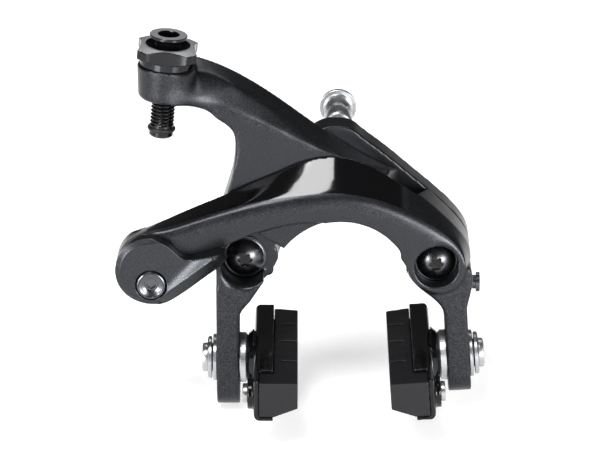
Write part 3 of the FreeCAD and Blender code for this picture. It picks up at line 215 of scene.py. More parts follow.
@dataclass(frozen=True)
class Finish:
    """A surface with fine grain in its colour, roughness and bump.

    Attributes:
        name: Name of the material.
        colour: Base colour.
        flake: Colour of the brightest grains.
        metal: 0 for gloss, rubber and plastic, up to 1 for bare metal.
        roughness: Middle roughness.
        spread: How far roughness goes each way.
        grain: Width of a grain in millimetres.
        bump: Height of the grain in millimetres.
        specular: Specular level of the shader.
    """

    name: str
    colour: Colour
    flake: Colour
    metal: float
    roughness: float
    spread: float
    grain: float
    bump: float
    specular: float = 0.5

    def build(self) -> bpy.types.Material:
        """Builds the material.

        Returns:
            The new material.
        """
        material = bpy.data.materials.new(self.name)
        material.use_nodes = True
        desk = NodeDesk(material.node_tree)
        shader = material.node_tree.nodes["Principled BSDF"]
        place = desk.add("ShaderNodeTexCoord").outputs["Object"]
        grain = desk.noise(place, self.grain)
        cloud = desk.noise(place, self.grain * GRAINS_PER_CLOUD)
        colour = desk.tint(desk.ramp(grain, *FLAKE_SPAN), self.colour, self.flake)
        rough = desk.math("ADD", desk.ramp(grain, *GRAIN_SPAN, self.roughness - self.spread, self.roughness),
                          desk.ramp(cloud, *GRAIN_SPAN, 0.0, self.spread))
        desk.join(colour, shader.inputs["Base Color"])
        desk.join(rough, shader.inputs["Roughness"])
        shader.inputs["Metallic"].default_value = self.metal
        shader.inputs["Specular IOR Level"].default_value = self.specular
        bump = desk.add("ShaderNodeBump")
        bump.inputs["Strength"].default_value = 1.0
        bump.inputs["Distance"].default_value = self.bump * MM
        desk.join(grain, bump.inputs["Height"])
        desk.join(bump.outputs["Normal"], shader.inputs["Normal"])
        self.dress(desk, shader)
        return material

    def dress(self, desk: NodeDesk, shader: bpy.types.Node) -> None:
        """Adds what one finish alone has. A plain finish has nothing more."""


@dataclass(frozen=True)
class FacetFinish(Finish):
    """Satin paint with a polished black facet between the blade's ridge and its top edge.

    Attributes:
        polish, polish_roughness: Colour and roughness of the facet.
        lift, border: How far above its foot line it starts, and over what width.
        left_end, right_end: X where it begins and X where it is full, at each end.
        curve_reach: Height that the foot line's curve node can hold, up and down.
        facing_front, facing_up: Y and Z of the normal, where the facet begins and where it is full.
    """

    polish: Colour = (0.0015, 0.0015, 0.0018)
    polish_roughness: float = 0.1
    lift: float = 2.0
    border: float = 0.2
    left_end: tuple[float, float] = (-55.6, -55.2)
    right_end: tuple[float, float] = (18.5, 15.5)
    curve_reach: float = 20.0
    facing_front: tuple[float, float] = (0.35, 0.2)
    facing_up: tuple[float, float] = (0.12, 0.2)

    def foot_line(self, desk: NodeDesk, x: bpy.types.NodeSocket) -> bpy.types.NodeSocket:
        """Height of the facet's foot line in metres.

        Args:
            desk: The material's nodes.
            x: Place along the blade in metres.

        Returns:
            The height.
        """
        left, right, reach = FACET_FOOT[0][0], FACET_FOOT[-1][0], self.curve_reach
        line = desk.add("ShaderNodeFloatCurve")
        points = line.mapping.curves[0].points
        for foot_x, foot_z in FACET_FOOT[1:-1]:
            points.new((foot_x - left) / (right - left), (foot_z + reach) / (2 * reach))
        points[0].location = (0.0, (FACET_FOOT[0][1] + reach) / (2 * reach))
        points[-1].location = (1.0, (FACET_FOOT[-1][1] + reach) / (2 * reach))
        line.mapping.update()
        desk.join(desk.ramp(x, left * MM, right * MM, interpolation="LINEAR"), line.inputs["Value"])
        return desk.math("ADD", desk.math("MULTIPLY", line.outputs["Value"], 2 * reach * MM), -reach * MM)

    def dress(self, desk: NodeDesk, shader: bpy.types.Node) -> None:
        """Lays the polished facet over the paint.

        Args:
            desk: The material's nodes.
            shader: The shader that they feed.
        """
        colour, rough = (shader.inputs[name].links[0].from_socket for name in ("Base Color", "Roughness"))
        coordinates = desk.add("ShaderNodeTexCoord")
        place, normal = desk.add("ShaderNodeSeparateXYZ"), desk.add("ShaderNodeSeparateXYZ")
        desk.join(coordinates.outputs["Object"], place.inputs[0])
        desk.join(coordinates.outputs["Normal"], normal.inputs[0])
        x, y, z = place.outputs
        risen = desk.math("SUBTRACT", z, self.foot_line(desk, x))
        back = desk.math("SUBTRACT", y, BLADE_FRONT * MM)
        share = desk.ramp(desk.math("ADD", risen, back), self.lift * MM, (self.lift + self.border) * MM)
        for value, (begin, full), unit in ((normal.outputs["Y"], self.facing_front, 1.0),
                                           (normal.outputs["Z"], self.facing_up, 1.0),
                                           (x, self.left_end, MM), (x, self.right_end, MM)):
            share = desk.math("MULTIPLY", share, desk.ramp(value, begin * unit, full * unit))
        paint = desk.math("SUBTRACT", 1.0, share)
        desk.join(desk.tint(share, colour, self.polish), shader.inputs["Base Color"])
        rougher = desk.math("MULTIPLY", desk.math("SUBTRACT", rough, self.polish_roughness), paint)
        desk.join(desk.math("ADD", rougher, self.polish_roughness), shader.inputs["Roughness"])
        desk.join(desk.math("MULTIPLY", paint, self.metal), shader.inputs["Metallic"])
        desk.join(paint, shader.inputs["Normal"].links[0].from_node.inputs["Strength"])


SATIN = dict(colour=(0.0165, 0.0172, 0.0193), flake=(0.055, 0.0573, 0.0642), metal=0.85, roughness=0.31,
             spread=0.04, grain=0.2, bump=0.006)


class Surface(Enum):
    """The finishes of the caliper's pieces."""

    ARM_PAINT = FacetFinish("arm_paint_with_facet", **SATIN)
    PAINT = Finish("satin_paint", **SATIN)
    LEVER = Finish("lever_satin", (0.024, 0.0253, 0.028), (0.052, 0.0543, 0.0595),
                   0.9, 0.3, 0.04, 0.18, 0.004)
    GLOSS = Finish("gloss_black_alloy", (0.002, 0.002, 0.0024), (0.003, 0.003, 0.0035),
                   0.0, 0.1, 0.03, 0.5, 0.0, 0.25)
    ANODISED = Finish("black_anodised", (0.024, 0.024, 0.026), (0.034, 0.034, 0.037),
                      1.0, 0.14, 0.03, 0.12, 0.001)
    SCREW = Finish("black_screw_steel", (0.07, 0.071, 0.076), (0.09, 0.091, 0.097),
                   1.0, 0.28, 0.03, 0.15, 0.001)
    # Bright steel painted on the walls of a screw's recess: a painted glint.
    RECESS = Finish("recess_steel_painted_glint", (0.3, 0.3, 0.31), (0.55, 0.55, 0.56), 1.0, 0.2, 0.06, 0.3, 0.01)
    STEEL = Finish("silver_steel", (0.33, 0.335, 0.345), (0.5, 0.505, 0.515), 1.0, 0.3, 0.08, 0.1, 0.003)
    DOME = Finish("ridged_washer_steel", (0.4, 0.405, 0.415), (0.6, 0.605, 0.615),
                  1.0, 0.36, 0.06, 0.12, 0.006)
    DISHED = Finish("dished_bolt_steel", (0.075, 0.078, 0.082), (0.12, 0.123, 0.128),
                    1.0, 0.25, 0.05, 0.1, 0.001)
    CHROME = Finish("bright_chrome", (0.47, 0.48, 0.495), (0.56, 0.57, 0.585), 1.0, 0.3, 0.05, 0.6, 0.0)
    RUBBER = Finish("black_rubber", (0.007, 0.007, 0.008), (0.012, 0.012, 0.0135),
                    0.0, 0.42, 0.06, 0.12, 0.004, 0.2)
    PLASTIC = Finish("black_plastic", (0.012, 0.012, 0.013), (0.02, 0.02, 0.021), 0.0, 0.5, 0.05, 0.1, 0.003)
    # Light alloy painted on the adjuster's upward faces: a painted highlight from light above and behind.
    RING = Finish("alloy_with_painted_top_light", (0.33, 0.337, 0.35), (0.43, 0.437, 0.45), 0.9, 0.5, 0.04, 0.12, 0.004)


# ---------------------------------------------------------------- modelling
def deselect() -> None:
    """Leaves object mode with nothing selected."""
    if bpy.context.object and bpy.context.object.mode != "OBJECT":
        bpy.ops.object.mode_set(mode="OBJECT")
    bpy.ops.object.select_all(action="DESELECT")


def select_only(piece: bpy.types.Object) -> None:
    """Selects one object and makes it active."""
    deselect()
    piece.select_set(True)
    bpy.context.view_layer.objects.active = piece


def apply_modifier(piece: bpy.types.Object, kind: str, **settings: object) -> None:
    """Adds a modifier and applies it at once.

    Args:
        piece: The object.
        kind: The modifier's type.
        **settings: Its properties.
    """
    select_only(piece)
    modifier = piece.modifiers.new(kind.title(), kind)
    for name, value in settings.items():
        setattr(modifier, name, value)
    bpy.ops.object.modifier_apply(modifier=modifier.name)


def smooth(piece: bpy.types.Object, rounds: int, weights: Iterable[tuple[int, float]] | None = None) -> None:
    """Smooths a mesh all over, or by the weights of its vertices.

    Args:
        piece: The object.
        rounds: Rounds of smoothing.
        weights: A vertex's index and its share of the smoothing; none where that is 0 or less.
    """
    settings: dict[str, object] = {"factor": 0.5, "iterations": rounds}
    if weights is not None:
        group = piece.vertex_groups.new(name="zone")
        for index, weight in weights:
            if weight > 0:
                group.add([index], min(1.0, weight), "REPLACE")
        settings["vertex_group"] = group.name
    apply_modifier(piece, "SMOOTH", **settings)
    piece.vertex_groups.clear()


def cut_with(piece: bpy.types.Object, cutter: bpy.types.Object, operation: str = "DIFFERENCE") -> None:
    """Cuts a piece with another and deletes the cutter.

    Args:
        piece: What is cut.
        cutter: A closed mesh.
        operation: What the boolean does.
    """
    apply_modifier(piece, "BOOLEAN", operation=operation, object=cutter, solver="EXACT")
    bpy.data.objects.remove(cutter, do_unlink=True)


def bake_place(piece: bpy.types.Object, place: Matrix) -> None:
    """Moves a mesh to its place and leaves its object at the origin.

    Args:
        piece: An object with its mesh about the origin.
        place: Where it goes, with a mirror in it or not.
    """
    piece.data.transform(place)
    if place.determinant() < 0:
        piece.data.flip_normals()
    piece.matrix_world = Matrix.Identity(4)
    piece.data.update()


def place_at(origin: Sequence[float], run: Sequence[float]) -> Matrix:
    """A place whose +Z lies along run.

    Args:
        origin: In millimetres.
        run: Direction of the local +Z.

    Returns:
        The matrix in metres.
    """
    turn = Vector(run).to_track_quat("Z", "Y").to_matrix().to_4x4()
    return Matrix.Translation(Vector(origin) * MM) @ turn


@dataclass(frozen=True)
class Teeth:
    """Ridges round a turned piece, between two heights."""

    count: int
    depth: float
    low: float
    high: float

    def cut(self, piece: bpy.types.Object) -> None:
        """Moves every other line of vertices in.

        Args:
            piece: A turned piece with at least two faces a tooth.
        """
        for vertex in piece.data.vertices:
            if self.low * MM <= vertex.co.z <= self.high * MM:
                wave = 0.5 + 0.5 * math.cos(self.count * math.atan2(vertex.co.y, vertex.co.x))
                sink(vertex, self.depth * wave)


@dataclass(frozen=True)
class Thread:
    """A screw thread cut into a turned piece between two heights.

    Attributes:
        pitch: Rise of one turn.
        depth: Depth of the groove.
        radius: Radius of the crest.
        low: Height where it begins.
        high: Height where it ends.
        flank: How soon a flank reaches the groove's floor.
        crest_slack: How far below the crest a vertex may lie and still be sunk.
    """

    pitch: float
    depth: float
    radius: float
    low: float
    high: float
    flank: float = 1.25
    crest_slack: float = 0.05

    def cut(self, piece: bpy.types.Object) -> None:
        """Sinks the vertices along a helix.

        Args:
            piece: A turned piece with many rings where the thread is.
        """
        for vertex in piece.data.vertices:
            height = vertex.co.z / MM
            on_crest = math.hypot(vertex.co.x, vertex.co.y) > (self.radius - self.crest_slack) * MM
            if on_crest and self.low * MM < vertex.co.z < self.high * MM:
                turn = height / self.pitch - math.atan2(vertex.co.y, vertex.co.x) / math.tau
                tooth = abs((turn % 1.0) * 2 - 1)
                runout = min(1.0, (height - self.low) / self.pitch, (self.high - height) / self.pitch)
                sink(vertex, self.depth * min(1.0, tooth * self.flank) * runout)


def sink(vertex: bpy.types.MeshVertex, depth: float) -> None:
    """Moves a vertex towards the local Z axis by a depth in millimetres."""
    share = 1 - depth * MM / math.hypot(vertex.co.x, vertex.co.y)
    vertex.co.x *= share
    vertex.co.y *= share


def extrude_ring(start: Ring, end: Ring) -> None:
    """Extrudes the selected ring of vertices to another radius and height."""
    bpy.ops.mesh.extrude_region_move(TRANSFORM_OT_translate={"value": (0, 0, (end[1] - start[1]) * MM)})
    share = end[0] / start[0]
    bpy.ops.transform.resize(value=(share, share, 1), center_override=(0, 0, 0))


def turned(name: str, rings: Sequence[Ring], hollow: bool = False, segments: int = 96, edge: float = 0.0,
           detail: Teeth | Thread | None = None) -> bpy.types.Object:
    """Turns a piece on the local Z axis, ring by ring.

    Args:
        name: Name of the object.
        rings: Radius and height of each ring, in millimetres.
        hollow: True where the last ring joins the first, False where both ends are capped.
        segments: Faces round the axis.
        edge: Width of the bevel on sharp edges, in millimetres.
        detail: Ridges or a thread cut into it.

    Returns:
        The object, with its mesh about the origin.
    """
    deselect()
    radius, height = rings[0]
    bpy.ops.mesh.primitive_circle_add(vertices=segments, radius=radius * MM, location=(0, 0, height * MM))
    piece = bpy.context.object
    piece.name = name
    bpy.ops.object.transform_apply(location=True)
    bpy.ops.object.mode_set(mode="EDIT")
    bpy.ops.mesh.select_all(action="SELECT")
    line = [*rings, rings[0]] if hollow else rings
    for start, end in zip(line, line[1:]):
        extrude_ring(start, end)
    if hollow:
        bpy.ops.mesh.select_all(action="SELECT")
        bpy.ops.mesh.remove_doubles(threshold=RING_MERGE)
    else:
        bpy.ops.mesh.edge_face_add()
        bpy.ops.mesh.select_all(action="DESELECT")
        bpy.ops.mesh.select_mode(type="EDGE")
        bpy.ops.mesh.select_non_manifold(extend=False)
        bpy.ops.mesh.edge_face_add()
        bpy.ops.mesh.select_mode(type="VERT")
    bpy.ops.mesh.select_all(action="SELECT")
    bpy.ops.mesh.normals_make_consistent(inside=False)
    bpy.ops.object.mode_set(mode="OBJECT")
    if edge:
        apply_modifier(piece, "BEVEL", width=edge * MM, segments=3, limit_method="ANGLE",
                       angle_limit=math.radians(25), use_clamp_overlap=True)
    if detail:
        detail.cut(piece)
    return piece


def prism(name: str, outline: Callable[[float], float], corners: int, low: float,
          high: float) -> bpy.types.Object:
    """A closed prism about the local Z axis, whose radius follows its angle.

    Args:
        name: Name of the object.
        outline: Radius in millimetres at an angle in radians.
        corners: Corners round the axis.
        low: Height of its lower end in millimetres.
        high: Height of its upper end in millimetres.

    Returns:
        The object, with its mesh about the origin.
    """
    deselect()
    bpy.ops.mesh.primitive_circle_add(vertices=corners, radius=1.0, fill_type="NGON")
    piece = bpy.context.object
    piece.name = name
    for vertex in piece.data.vertices:
        angle = math.atan2(vertex.co.y, vertex.co.x)
        radius = outline(angle) * MM
        vertex.co = (radius * math.cos(angle), radius * math.sin(angle), low * MM)
    bpy.ops.object.mode_set(mode="EDIT")
    bpy.ops.mesh.select_all(action="SELECT")
    bpy.ops.mesh.extrude_region_move(TRANSFORM_OT_translate={"value": (0, 0, (high - low) * MM)})
    bpy.ops.mesh.select_all(action="SELECT")
    bpy.ops.mesh.normals_make_consistent(inside=False)
    bpy.ops.object.mode_set(mode="OBJECT")
    return piece


def hexagon(name: str, width: float, low: float, high: float) -> bpy.types.Object:
    """A six-sided prism, width across flats, in millimetres."""
    return prism(name, lambda angle: width / math.sqrt(3), 6, low, high)


def six_lobe(name: str, radius: float, low: float, high: float) -> bpy.types.Object:
    """A six-lobed prism for a screw's recess, in millimetres."""
    return prism(name, lambda angle: radius * (0.86 + 0.14 * math.cos(6 * angle)), 96, low, high)


@dataclass
class Workshop:
    """Gives each piece its finish and its body, and hides the node that it stands for."""

    frame: dict
    paints: dict[Surface, bpy.types.Material] = field(default_factory=dict)

    def __post_init__(self) -> None:
        """Reads which body and which material slot each node has."""
        record = self.frame["record"]
        self.body = {node: body for body, nodes in record["behaviour"]["bodies"].items() for node in nodes}
        self.slot = {entry["node"]: entry["material_slot"] for entry in record["subparts"]}

    def paint(self, surface: Surface) -> bpy.types.Material:
        """The material of a finish, made when it is first asked for."""
        if surface not in self.paints:
            self.paints[surface] = surface.value.build()
        return self.paints[surface]

    def node(self, name: str) -> bpy.types.Object:
        """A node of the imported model."""
        return self.frame["nodes"][name]

    def copy(self, node: str, name: str) -> bpy.types.Object:
        """A copy of a node's solid as one joined skin.

        Args:
            node: Name of the node.
            name: Name of the copy.

        Returns:
            The object, selected.
        """
        piece = bpy.data.objects.new(name, self.node(node).data.copy())
        piece.data.materials.clear()
        bpy.context.collection.objects.link(piece)
        select_only(piece)
        bpy.ops.object.mode_set(mode="EDIT")
        bpy.ops.mesh.select_all(action="SELECT")
        bpy.ops.mesh.remove_doubles(threshold=SKIN_MERGE)
        bpy.ops.object.mode_set(mode="OBJECT")
        return piece

    def casting(self, node: str, voxel: float, rounds: int) -> bpy.types.Object:
        """A copy of a node's solid with its edges eased all over, as a cast or moulded piece has them.

        Args:
            node: Name of the node.
            voxel: Grid of the new skin in millimetres.
            rounds: Rounds of smoothing.

        Returns:
            The object.
        """
        piece = self.copy(node, node + "_skin")
        apply_modifier(piece, "REMESH", mode="VOXEL", voxel_size=voxel * MM, adaptivity=0.0)
        smooth(piece, rounds)
        return piece

    def dress(self, piece: bpy.types.Object, surface: Surface, angle: float) -> None:
        """Gives a new piece its finish and smooth shading below an angle in degrees."""
        piece.data.materials.clear()
        piece.data.materials.append(self.paint(surface))
        select_only(piece)
        bpy.ops.object.shade_smooth_by_angle(angle=math.radians(angle))

    def repaint(self, piece: bpy.types.Object, faces: Iterable[int], surface: Surface) -> None:
        """Gives some faces of a dressed piece another finish.

        Args:
            piece: The piece.
            faces: Indexes of the faces.
            surface: Their finish.
        """
        piece.data.materials.append(self.paint(surface))
        for index in faces:
            piece.data.polygons[index].material_index = len(piece.data.materials) - 1

    def fit(self, piece: bpy.types.Object, node: str, surface: Surface, angle: float) -> None:
        """Dresses a piece that stands for a node and sets it on that node's body.

        Args:
            piece: The new piece.
            node: The node that it replaces.
            surface: Its finish.
            angle: Edges sharper than this stay sharp, in degrees.
        """
        self.dress(piece, surface, angle)
        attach(piece, self.body[node])
        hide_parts(node)
        LOG.info("%s stands for %s, %d faces", piece.name, node, len(piece.data.polygons))

    def keep(self, node: str, surface: Surface) -> None:
        """Gives a node of the model a better material and leaves its mesh alone."""
        kept = self.node(node)
        if not kept.data.materials:
            kept.data.materials.append(None)
        for slot in kept.material_slots:
            slot.material = self.paint(surface)
        LOG.info("%s kept, in %s", node, surface.value.name)


# ---------------------------------------------------------------- sub-assemblies
def line_height(points: Sequence[Ring], x: float) -> float:
    """Height of a line of points at x, with its ends carried on level."""
    for (x0, z0), (x1, z1) in zip(points, points[1:]):
        if x0 <= x <= x1:
            return z0 + (z1 - z0) * (x - x0) / (x1 - x0)
    return points[0][1] if x < points[0][0] else points[-1][1]


@dataclass(frozen=True)
class SoftZone:
    """A ball in which a casting is smoothed more than elsewhere."""

    middle: Point
    reach: float
    rounds: int

    def ease(self, piece: bpy.types.Object) -> None:
        """Smooths a casting inside the ball, fully in the inner half of its reach."""
        middle = Vector(self.middle)
        smooth(piece, self.rounds, ((vertex.index, 2 * (1.0 - (vertex.co / MM - middle).length / self.reach))
                                    for vertex in piece.data.vertices))


@dataclass
class Arms:
    """The two forged arms and the bracket that carries them."""

    skin: float = 0.36
    bracket_skin: float = 0.4
    rounds: int = 5
    sharp: float = 60.0
    ridge_rounds: int = 260
    ridge_reach: float = 5.4
    ridge_gain: float = 1.6
    ridge_fade: float = 3.0
    ridge_ends: tuple[float, float] = (-52.0, 33.0)
    end_zone: SoftZone = SoftZone((-55.3, -23.5, -9.2), 6.0, 60)
    neck_zones: tuple[SoftZone, ...] = (
        SoftZone((-41.0, -24.5, 31.5), 5.0, 150), SoftZone((-38.0, -23.3, 29.5), 6.5, 260),
        SoftZone((-35.5, -22.3, 27.5), 6.5, 220), SoftZone((-33.5, -19.5, 31.0), 5.0, 120))
    bar_zones: tuple[SoftZone, ...] = (
        SoftZone((-25.5, -21.5, 23.0), 8.0, 90), SoftZone((-17.0, -21.0, 18.5), 8.0, 90),
        SoftZone((-9.0, -21.0, 14.0), 8.0, 90), SoftZone((-29.0, -21.5, 14.0), 7.0, 60))
    pocket_zones: tuple[SoftZone, ...] = (
        SoftZone((-31.2, -30.1, -21.2), 3.6, 90), SoftZone((-27.9, -30.1, -23.8), 3.6, 90),
        SoftZone((-23.7, -30.1, -24.0), 3.6, 90))

    def ridge_weights(self, arm: bpy.types.Object) -> Iterator[tuple[int, float]]:
        """How much more of the front arm's skin is smoothed along the blade's front ridge.

        Args:
            arm: The front arm's skin.

        Yields:
            A vertex's index and its weight.
        """
        first, last = self.ridge_ends
        for vertex in arm.data.vertices:
            x, y, z = vertex.co / MM
            if y <= BLADE_FRONT + self.ridge_reach and first < x < last:
                away = math.hypot(z - line_height(FRONT_RIDGE, x), y - BLADE_FRONT)
                fade = min(1.0, (x - first) / self.ridge_fade, (last - x) / self.ridge_fade)
                yield vertex.index, self.ridge_gain * (1.0 - away / self.ridge_reach) * fade

    def build(self, shop: Workshop) -> None:
        """Builds both arms and the bracket."""
        front = shop.casting("anchor_arm", self.skin, self.rounds)
        smooth(front, self.ridge_rounds, self.ridge_weights(front))
        self.end_zone.ease(front)
        shop.fit(front, "anchor_arm", Surface.ARM_PAINT, self.sharp)
        rear = shop.casting("housing_arm", self.skin, self.rounds)
        for zone in (*self.neck_zones, *self.bar_zones, *self.pocket_zones):
            zone.ease(rear)
        shop.fit(rear, "housing_arm", Surface.PAINT, self.sharp)
        bracket = shop.casting("pivot_bracket", self.bracket_skin, self.rounds)
        shop.fit(bracket, "pivot_bracket", Surface.PAINT, self.sharp)


@dataclass
class PivotScrew:
    """A pivot screw with a stepped rim, a domed head and a six-lobed recess."""

    side: Side
    place: Point
    shank: float
    shank_radius: float = 3.5
    thread_radius: float = 3.0
    thread_length: float = 7.0
    thread_chamfer: float = 0.5
    head_radius: float = 5.3
    head_edge: Ring = (0.2, 0.15)
    rim: float = 0.6
    rim_steps: tuple[float, float, float, float] = (0.45, 0.5, 0.75, 0.8)
    step: float = 0.12
    top: float = 3.2
    dome_steps: int = 12
    recess_radius: float = 2.1
    recess_depth: float = 1.7
    recess_edge: float = 0.09
    floor_slack: float = 0.05

    def rings(self) -> list[Ring]:
        """The turned outline, from the thread's end to the middle of the dome."""
        end, head, thread = -self.shank - self.thread_length, self.head_radius, self.thread_radius
        foot, rise = head - 2 * self.step, self.top - self.rim
        rim_end, step_start, step_end, foot_start = (self.rim * share for share in self.rim_steps)
        ball = (foot * foot + rise * rise) / (2 * rise)
        radii = [foot * (1 - count / self.dome_steps) for count in range(1, self.dome_steps)]
        return [(thread - self.thread_chamfer, end), (thread, end + self.thread_chamfer),
                (thread, -self.shank), (self.shank_radius, -self.shank), (self.shank_radius, 0),
                (head - self.head_edge[0], 0), (head, self.head_edge[1]), (head, rim_end),
                (head - self.step, step_start), (head - self.step, step_end), (foot, foot_start),
                (foot, self.rim)] + [
                (radius, self.top - ball + math.sqrt(ball * ball - radius * radius)) for radius in radii]

    def build(self, shop: Workshop) -> None:
        """Builds the screw with its recess, whose walls carry a painted glint and whose floor carries painted
        shade.
        """
        node = self.side.value + "_pivot_screw"
        floor = self.top - self.recess_depth
        screw = turned(node + "_domed", self.rings(), segments=128)
        cut_with(screw, six_lobe("recess", self.recess_radius, floor, self.top + 1))
        apply_modifier(screw, "BEVEL", width=self.recess_edge * MM, segments=2, limit_method="ANGLE",
                       angle_limit=math.radians(50))
        # The recess walls get bright steel, a painted glint; its floor gets gloss black, painted shade.
        inside = [face for face in screw.data.polygons
                  if math.hypot(face.center.x, face.center.y) < self.recess_radius * MM]
        glint_walls = [face.index for face in inside
                 if face.center.z > (floor + 0.01) * MM and face.normal.z < 0.75]
        shaded_floors = [face.index for face in inside if abs(face.center.z - floor * MM) < self.floor_slack * MM]
        bake_place(screw, place_at(self.place, (0, -1, 0)))
        shop.fit(screw, node, Surface.SCREW, 30)
        shop.repaint(screw, glint_walls, Surface.RECESS)
        shop.repaint(screw, shaded_floors, Surface.GLOSS)


@dataclass
class ForkBolt:
    """The sleeve nut on the fork bolt.

    Attributes:
        start: Where its open end lies along the fork bolt's axis.
        grooves: Where each of its two rings starts, from the open end.
        groove_line: The outline of a ring: how deep, and how far from its start.
        fillet_line: The outline before the flange: how far out from the barrel, and how far from the end.
        flange_line: The flange's outline: how far in from its radius, and how far from the end.
    """

    start: float = 32.5
    length: float = 16.5
    radius: float = 4.0
    chamfer: Ring = (0.5, 0.6)
    bolt_radius: float = 3.0
    bolt_depth: float = 9.9
    flange: float = 5.25
    hex_width: float = 5.0
    hex_depth: float = 5.0
    edge: float = 0.06
    overlap: float = 0.05
    grooves: tuple[float, float] = (6.3, 7.4)
    groove_line: tuple[Ring, ...] = ((0.0, 0.0), (0.1, 0.1), (0.1, 0.3), (0.0, 0.4))
    fillet_line: tuple[Ring, ...] = ((0.0, 1.9), (0.12, 1.65), (0.45, 1.6))
    flange_line: tuple[Ring, ...] = ((0.15, 1.6), (0.0, 1.45), (0.0, 0.55), (0.15, 0.3), (0.55, 0.2),
                                     (0.75, 0.0))

    def build(self, shop: Workshop) -> None:
        """Builds the nut with its stepped flange and two rings near its open end."""
        bore, bar, end = self.bolt_radius, self.radius, self.length
        rings = [(bore, 0), (bar - self.chamfer[0], 0), (bar, self.chamfer[1])]
        rings += [(bar - depth, groove + along) for groove in self.grooves
                  for depth, along in self.groove_line]
        rings += [(bar + out, end - back) for out, back in self.fillet_line]
        rings += [(self.flange - inward, end - back) for inward, back in self.flange_line] + [(bore, end)]
        nut = turned("sleeve_nut_turned", rings, hollow=True, edge=self.edge)
        plug_radius = bore + self.overlap
        plug = turned("plug", [(plug_radius, self.bolt_depth), (plug_radius, end - self.overlap)])
        cut_with(nut, plug, "UNION")
        cut_with(nut, hexagon("socket", self.hex_width, end - self.hex_depth, end + 1))
        bake_place(nut, place_at((0, self.start, 0), (0, 1, 0)))
        shop.fit(nut, "sleeve_nut", Surface.CHROME, 28)


@dataclass
class CableAdjuster:
    """The nut, the hollow screw and its rubber ring, along the adjuster's leaning axis."""

    place: Point = (-46.38, -19.0, 31.1)
    tilt: float = 5.0
    nut_skin: float = 0.11
    nut_opening: float = 5.8
    screw_radius: float = 3.2
    screw_bottom: float = -15.2
    end_chamfer: float = 0.4
    groove_floor: float = 2.42
    groove_low: float = -13.75
    groove_high: float = -12.45
    groove_edge: float = 0.05
    pitch: float = 1.0
    thread_depth: float = 0.42
    thread_inset: float = 0.2
    steps: int = 10
    neck_radius: float = 3.5
    neck_low: float = 2.5
    neck_high: float = 0.9
    neck_chamfer: float = 0.3
    thread_gap: float = 2.9
    ring_top: float = 13.1
    ring_height: float = 0.9
    ring_radius: float = 5.0
    ring_foot: Ring = (0.3, 0.2)
    ring_edge: float = 0.15
    # Height of the screw's top that gets the painted highlight, and how far up a face must point to get it.
    lit_top_height: float = 0.75
    upward: float = 0.9
    housing_bore: float = 2.75
    housing_chamfer: Ring = (0.15, 0.2)
    bore_depth: float = 9.0
    cable_bore: float = 1.1

    def matrix(self) -> Matrix:
        """The adjuster's place."""
        lean = math.radians(self.tilt)
        return place_at(self.place, (math.sin(lean), 0, math.cos(lean)))

    def build(self, shop: Workshop) -> None:
        """Builds the nut and the screw, and keeps the rubber ring."""
        nut = shop.casting("adjuster_nut", self.nut_skin, 1)
        shop.fit(nut, "adjuster_nut", Surface.ANODISED, 40)
        # The nut's upward faces get a painted highlight.
        self.paint_lit_tops(shop, nut, self.nut_opening, 0.0)
        self.build_screw(shop)
        shop.keep("adjuster_o_ring", Surface.RUBBER)

    def build_screw(self, shop: Workshop) -> None:
        """Builds the threaded screw with its neck and its ring."""
        r, bottom, top, bore = self.screw_radius, self.screw_bottom, self.ring_top, self.housing_bore
        under = top - self.ring_height
        thread_low, thread_high = self.groove_high + self.thread_inset, under - self.thread_gap
        count = int((thread_high - thread_low) / self.pitch * self.steps)
        foot_in, foot_up = self.ring_foot
        bore_in, bore_down = self.housing_chamfer
        rings = [(self.cable_bore, bottom), (r - self.end_chamfer, bottom), (r, bottom + self.end_chamfer),
                 (r, self.groove_low), (self.groove_floor, self.groove_low + self.groove_edge),
                 (self.groove_floor, self.groove_high - self.groove_edge), (r, self.groove_high)]
        rings += [(r, thread_low + (thread_high - thread_low) * i / count) for i in range(count + 1)]
        rings += [(r, under - self.neck_low - self.neck_chamfer), (self.neck_radius, under - self.neck_low),
                  (self.neck_radius, under - self.neck_high), (self.ring_radius - foot_in, under),
                  (self.ring_radius, under + foot_up), (self.ring_radius, top - self.ring_edge),
                  (self.ring_radius - self.ring_edge, top), (bore + bore_in, top), (bore, top - bore_down),
                  (bore, top - self.bore_depth), (self.cable_bore, top - self.bore_depth)]
        screw = turned("adjuster_bolt_threaded", rings, hollow=True, segments=64,
                       detail=Thread(self.pitch, self.thread_depth, r, thread_low, thread_high))
        bake_place(screw, self.matrix())
        shop.fit(screw, "adjuster_bolt", Surface.GLOSS, 30)
        # The ring's upward faces get a painted highlight.
        self.paint_lit_tops(shop, screw, bore, top - self.lit_top_height)

    def paint_lit_tops(self, shop: Workshop, piece: bpy.types.Object, bore: float, low: float) -> None:
        """Paints a piece's upward faces a lighter alloy: a painted highlight, as if lit from above and
        behind.

        Args:
            shop: The workshop.
            piece: The nut or the screw.
            bore: Radius inside which nothing is painted lighter.
            low: Height along the axis under which nothing is painted lighter.
        """
        axis = self.matrix().inverted()
        upwards = self.matrix().to_3x3() @ Vector((0, 0, 1))
        tops = []
        for face in piece.data.polygons:
            local = axis @ face.center
            outside = local.z > low * MM and math.hypot(local.x, local.y) > bore * MM
            if outside and face.normal.dot(upwards) > self.upward:
                tops.append(face.index)
        shop.repaint(piece, tops, Surface.RING)


